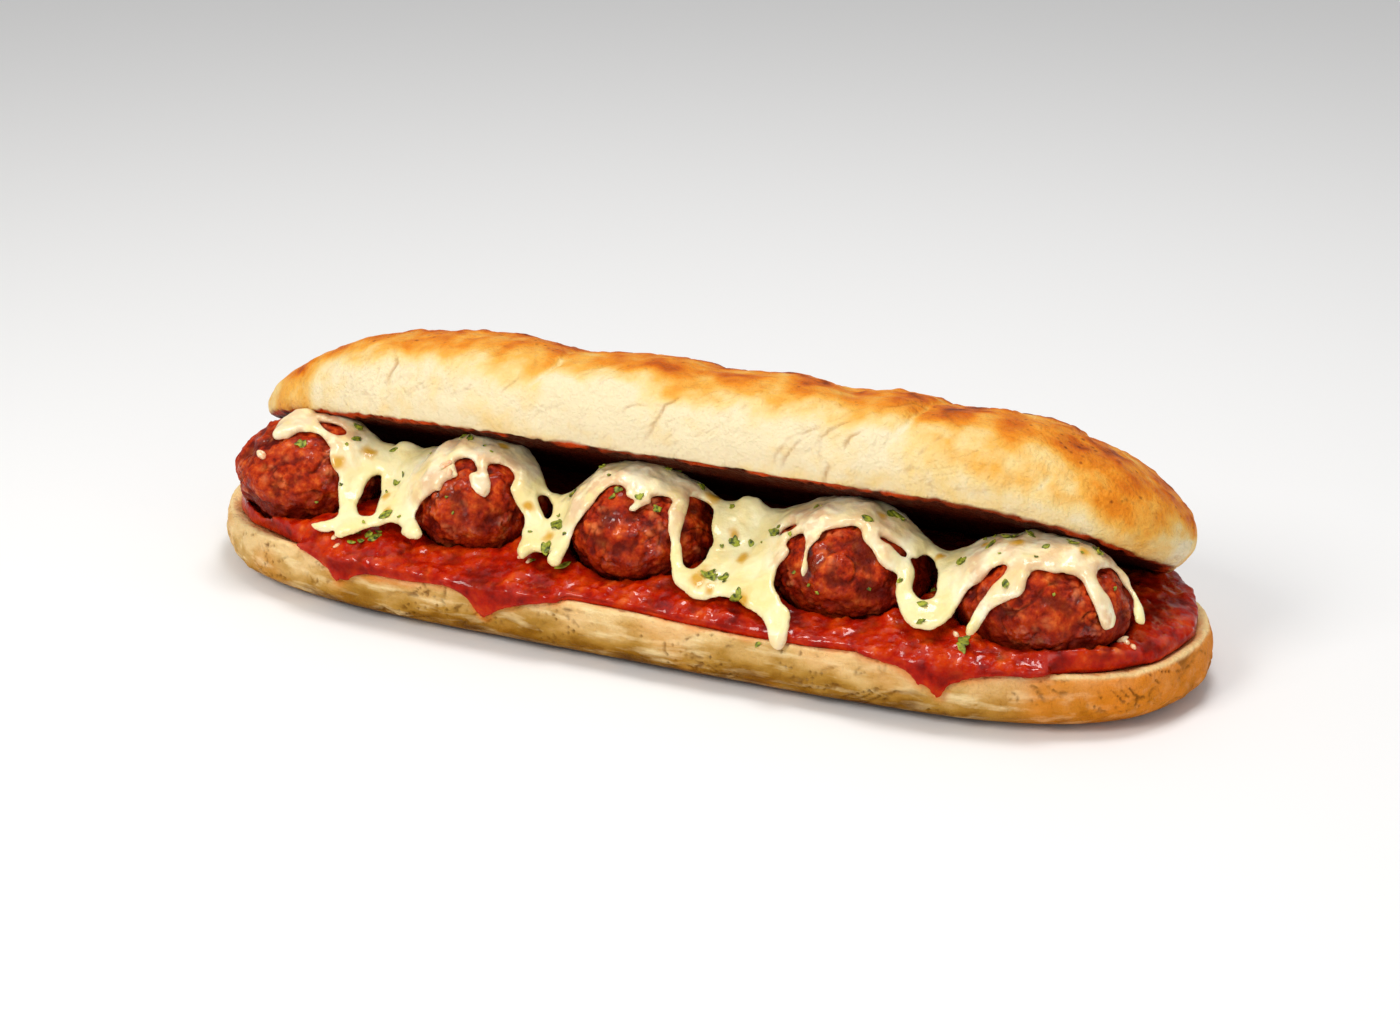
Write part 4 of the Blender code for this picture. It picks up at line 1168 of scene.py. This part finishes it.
def scatter_tree(name, taper, curl, ragged, finish):
    """Nodes that lay one small bit on each point, turned to the surface under it."""
    tree = bpy.data.node_groups.new(name, "GeometryNodeTree")
    made = tree.interface
    made.new_socket("Points", in_out="INPUT", socket_type="NodeSocketGeometry")
    for label, value in (("Taper", taper), ("Curl", curl), ("Ragged", ragged)):
        made.new_socket(label, in_out="INPUT", socket_type="NodeSocketFloat").default_value = value
    made.new_socket("Bits", in_out="OUTPUT", socket_type="NodeSocketGeometry")
    wiring = Wiring(tree)
    given = tree.nodes.new("NodeGroupInput")
    points, taper, curl, ragged = (Amount(wiring, socket) for socket in given.outputs[:4])

    ball = wiring.node("GeometryNodeMeshIcoSphere", inputs={"Radius": 1.0, "Subdivisions": 2})
    place = wiring.node("GeometryNodeInputPosition")
    split = wiring.node("ShaderNodeSeparateXYZ", inputs={0: place}).socket.node
    x, y, z = (Amount(wiring, socket) for socket in split.outputs)
    shape = {"X": x, "Y": y * (1.0 - taper * x * x), "Z": z + curl * x * x}
    bent = wiring.node("ShaderNodeCombineXYZ", inputs=shape)
    leaf = wiring.node("GeometryNodeSetPosition", inputs={"Geometry": ball, "Position": bent})

    settings = {"data_type": "FLOAT_VECTOR"}
    outward, size, spin = (
        wiring.node("GeometryNodeInputNamedAttribute", settings, {"Name": label}) for label in BIT_FACTS
    )
    facing = wiring.node("FunctionNodeAlignRotationToVector", {"axis": "Z"}, {"Vector": outward})
    spun = wiring.node("FunctionNodeEulerToRotation", inputs={0: spin})
    settings = {"rotation_space": "LOCAL"}
    turned = wiring.node("FunctionNodeRotateRotation", settings, {0: facing, 1: spun})
    inputs = {"Points": points, "Instance": leaf, "Rotation": turned, "Scale": size}
    laid = wiring.node("GeometryNodeInstanceOnPoints", inputs=inputs)
    real = wiring.node("GeometryNodeRealizeInstances", inputs={0: laid})

    inputs = {"Scale": 1 / (TEAR_SIZE * MM), "Detail": 2.0}
    colour = wiring.node("ShaderNodeTexNoise", inputs=inputs, output="Color")
    settings = {"operation": "SUBTRACT"}
    moved = wiring.node("ShaderNodeVectorMath", settings, {0: colour, 1: (0.5, 0.5, 0.5)})
    inputs = {0: moved, "Scale": ragged * MM}
    moved = wiring.node("ShaderNodeVectorMath", {"operation": "SCALE"}, inputs)
    torn = wiring.node("GeometryNodeSetPosition", inputs={"Geometry": real, "Offset": moved})
    done = wiring.node("GeometryNodeSetMaterial", inputs={"Geometry": torn, "Material": finish})
    result = tree.nodes.new("NodeGroupOutput")
    wiring.join(result.inputs["Bits"], done)
    return tree


def lay_bits(name, bits, tree, finish, slot):
    """Lay bits on a surface. Each bit has its place in metres, then its facts."""
    places, *facts = zip(*bits)
    mesh = bpy.data.meshes.new(name)
    mesh.from_pydata(np.array(places).tolist(), [], [])
    for label, values in zip(BIT_FACTS, facts):
        kept = mesh.attributes.new(label, "FLOAT_VECTOR", "POINT")
        kept.data.foreach_set("vector", np.array(values, np.float32).ravel())
    item = add_item(name, mesh)
    scatter = modify(item, "scatter", "NODES", node_group=tree)
    for socket in tree.interface.items_tree:
        if socket.in_out == "INPUT" and socket.socket_type == "NodeSocketFloat":
            scatter[socket.identifier] = socket.default_value
    apply_modifiers(item)
    item.data.shade_smooth()
    hand_over(item, finish, slot)
    return item


def spots(tree, places, most, draw):
    """Surface points for clusters of bits: a few bits near each given place."""
    found = []
    for along, turn, size in places:
        for _ in range(draw.randint(1, most)):
            x = along + draw.uniform(-0.4, 0.4) * size * (most > 1)
            t = turn + draw.uniform(-1.2, 1.2) * size * (most > 1)
            start = round_place(x, t, DROP_REACH)
            way = round_place(x, t, 0) - start
            place, normal, _, _ = tree.ray_cast(start.tolist(), way.tolist())
            if place is not None:
                found.append((np.array(place), np.array(normal), size))
    return found


def make_herbs(tree):
    """Torn herb flakes, in clusters where the picture shows them and as specks between."""
    bits = []
    draw = random.Random(31)
    specks = tuple((draw.uniform(-100, 122), draw.uniform(12, 100), 0.4) for _ in range(34))
    for place, normal, size in spots(tree, HERBS + specks, 4, draw):
        half = np.array((0.72 * size + 0.26, 0.42 * size + 0.16, 0.2)) * draw.uniform(0.75, 1.25)
        turn = (draw.uniform(-0.4, 0.4), draw.uniform(-0.4, 0.4), draw.uniform(0, math.tau))
        bits.append(((place + normal * 0.12) * MM, normal, half * MM, turn))
    finish = herb_finish()
    scatter = scatter_tree("herb scatter", 0.45, 0.8, 0.5, finish)
    lay_bits("herb_flakes", bits, scatter, finish, "melted_cheese")


def herb_finish():
    """Dried green herb."""
    finish = Finish("herb")
    patch = finish.clouds(1.2).between(0.35, 0.65)
    green = finish.blend(patch, srgb(38, 58, 4), srgb(170, 176, 40))
    finish.surface(Base_Color=green, Roughness=finish.clouds(0.8) * 0.3 + 0.4)
    return finish.material


def make_onions(tree):
    """Small cubes of soft onion and garlic."""
    bits = []
    draw = random.Random(23)
    for place, normal, size in spots(tree, ONIONS, 1, draw):
        half = np.array((0.66, 0.42, 0.26)) * size * draw.uniform(0.85, 1.25)
        turn = (draw.uniform(-0.3, 0.3), draw.uniform(-0.3, 0.3), draw.uniform(0, math.tau))
        bits.append(((place + normal * 0.1 * size) * MM, normal, half * MM, turn))
    finish = onion_finish()
    scatter = scatter_tree("onion scatter", 0.15, 0.1, 0.4, finish)
    lay_bits("onion_bits", bits, scatter, finish, "tomato_sauce")


def onion_finish():
    """Soft onion, stained by the sauce."""
    finish = Finish("onion")
    stain = finish.clouds(1.5).between(0.4, 0.7)
    cream = finish.blend(stain, srgb(246, 218, 172), srgb(228, 150, 100))
    finish.surface(Base_Color=cream, Roughness=finish.clouds(1.0) * 0.2 + 0.2)
    finish.surface(Subsurface_Weight=0.2, Subsurface_Scale=1.5 * MM)
    finish.surface(Coat_Weight=0.4, Coat_Roughness=0.1)
    return finish.material


# The picture


def aim(item, place, way):
    """Put a lamp or the camera in its place, in metres, facing one way."""
    item.location = place
    item.rotation_euler = way.to_track_quat("-Z", "Y").to_euler()


def add_floor():
    """The plain pale floor."""
    bm = bmesh.new()
    bmesh.ops.create_grid(bm, x_segments=2, y_segments=2, size=FLOOR_HALF_WIDTH)
    mesh = bpy.data.meshes.new("floor")
    bm.to_mesh(mesh)
    bm.free()
    floor = add_item("floor", mesh)
    finish = Finish("pale floor")
    finish.surface(Base_Color=srgb(248, 248, 248), Roughness=0.6)
    mesh.materials.append(finish.material)


def add_camera():
    """The camera, at the photograph's angle."""
    azimuth = math.radians(CAMERA_AZIMUTH)
    elevation = math.radians(CAMERA_ELEVATION)
    target = Vector(CAMERA_TARGET) * MM
    flat = math.cos(elevation)
    back = Vector((math.sin(azimuth) * flat, -math.cos(azimuth) * flat, math.sin(elevation)))
    camera = add_item("camera", bpy.data.cameras.new("camera"))
    camera.data.lens = CAMERA_LENS_MM
    camera.data.clip_start = CAMERA_CLIP
    aim(camera, target + back * CAMERA_DISTANCE * MM, -back)
    bpy.context.scene.camera = camera


def add_lights():
    """Soft studio light from the front left, with a softbox above for the gloss."""
    for name, place, width, power, colour in LIGHTS:
        lamp = bpy.data.lights.new(name, "AREA")
        lamp.shape = "SQUARE"
        lamp.size = width
        lamp.energy = power
        lamp.color = colour
        aim(add_item(name, lamp), place, Vector(LIGHT_TARGET) - Vector(place))
    world = bpy.data.worlds.new("studio")
    world.use_nodes = True
    sky = world.node_tree.nodes["Background"]
    sky.inputs["Color"].default_value = (1, 1, 1, 1)
    sky.inputs["Strength"].default_value = SKY_STRENGTH
    bpy.context.scene.world = world
    bpy.context.scene.view_settings.view_transform = "Standard"


meat = [make_meatball(index) for index in range(len(BALLS))]
sauce = make_sauce(search_tree(*meat))
base = make_base(sauce)
lid = make_lid()
cheese = make_cheese(search_tree(sauce, base, *meat), lid)
topped = search_tree(sauce, base, cheese, *meat)
make_herbs(topped)
make_onions(topped)
add_floor()
add_camera()
add_lights()
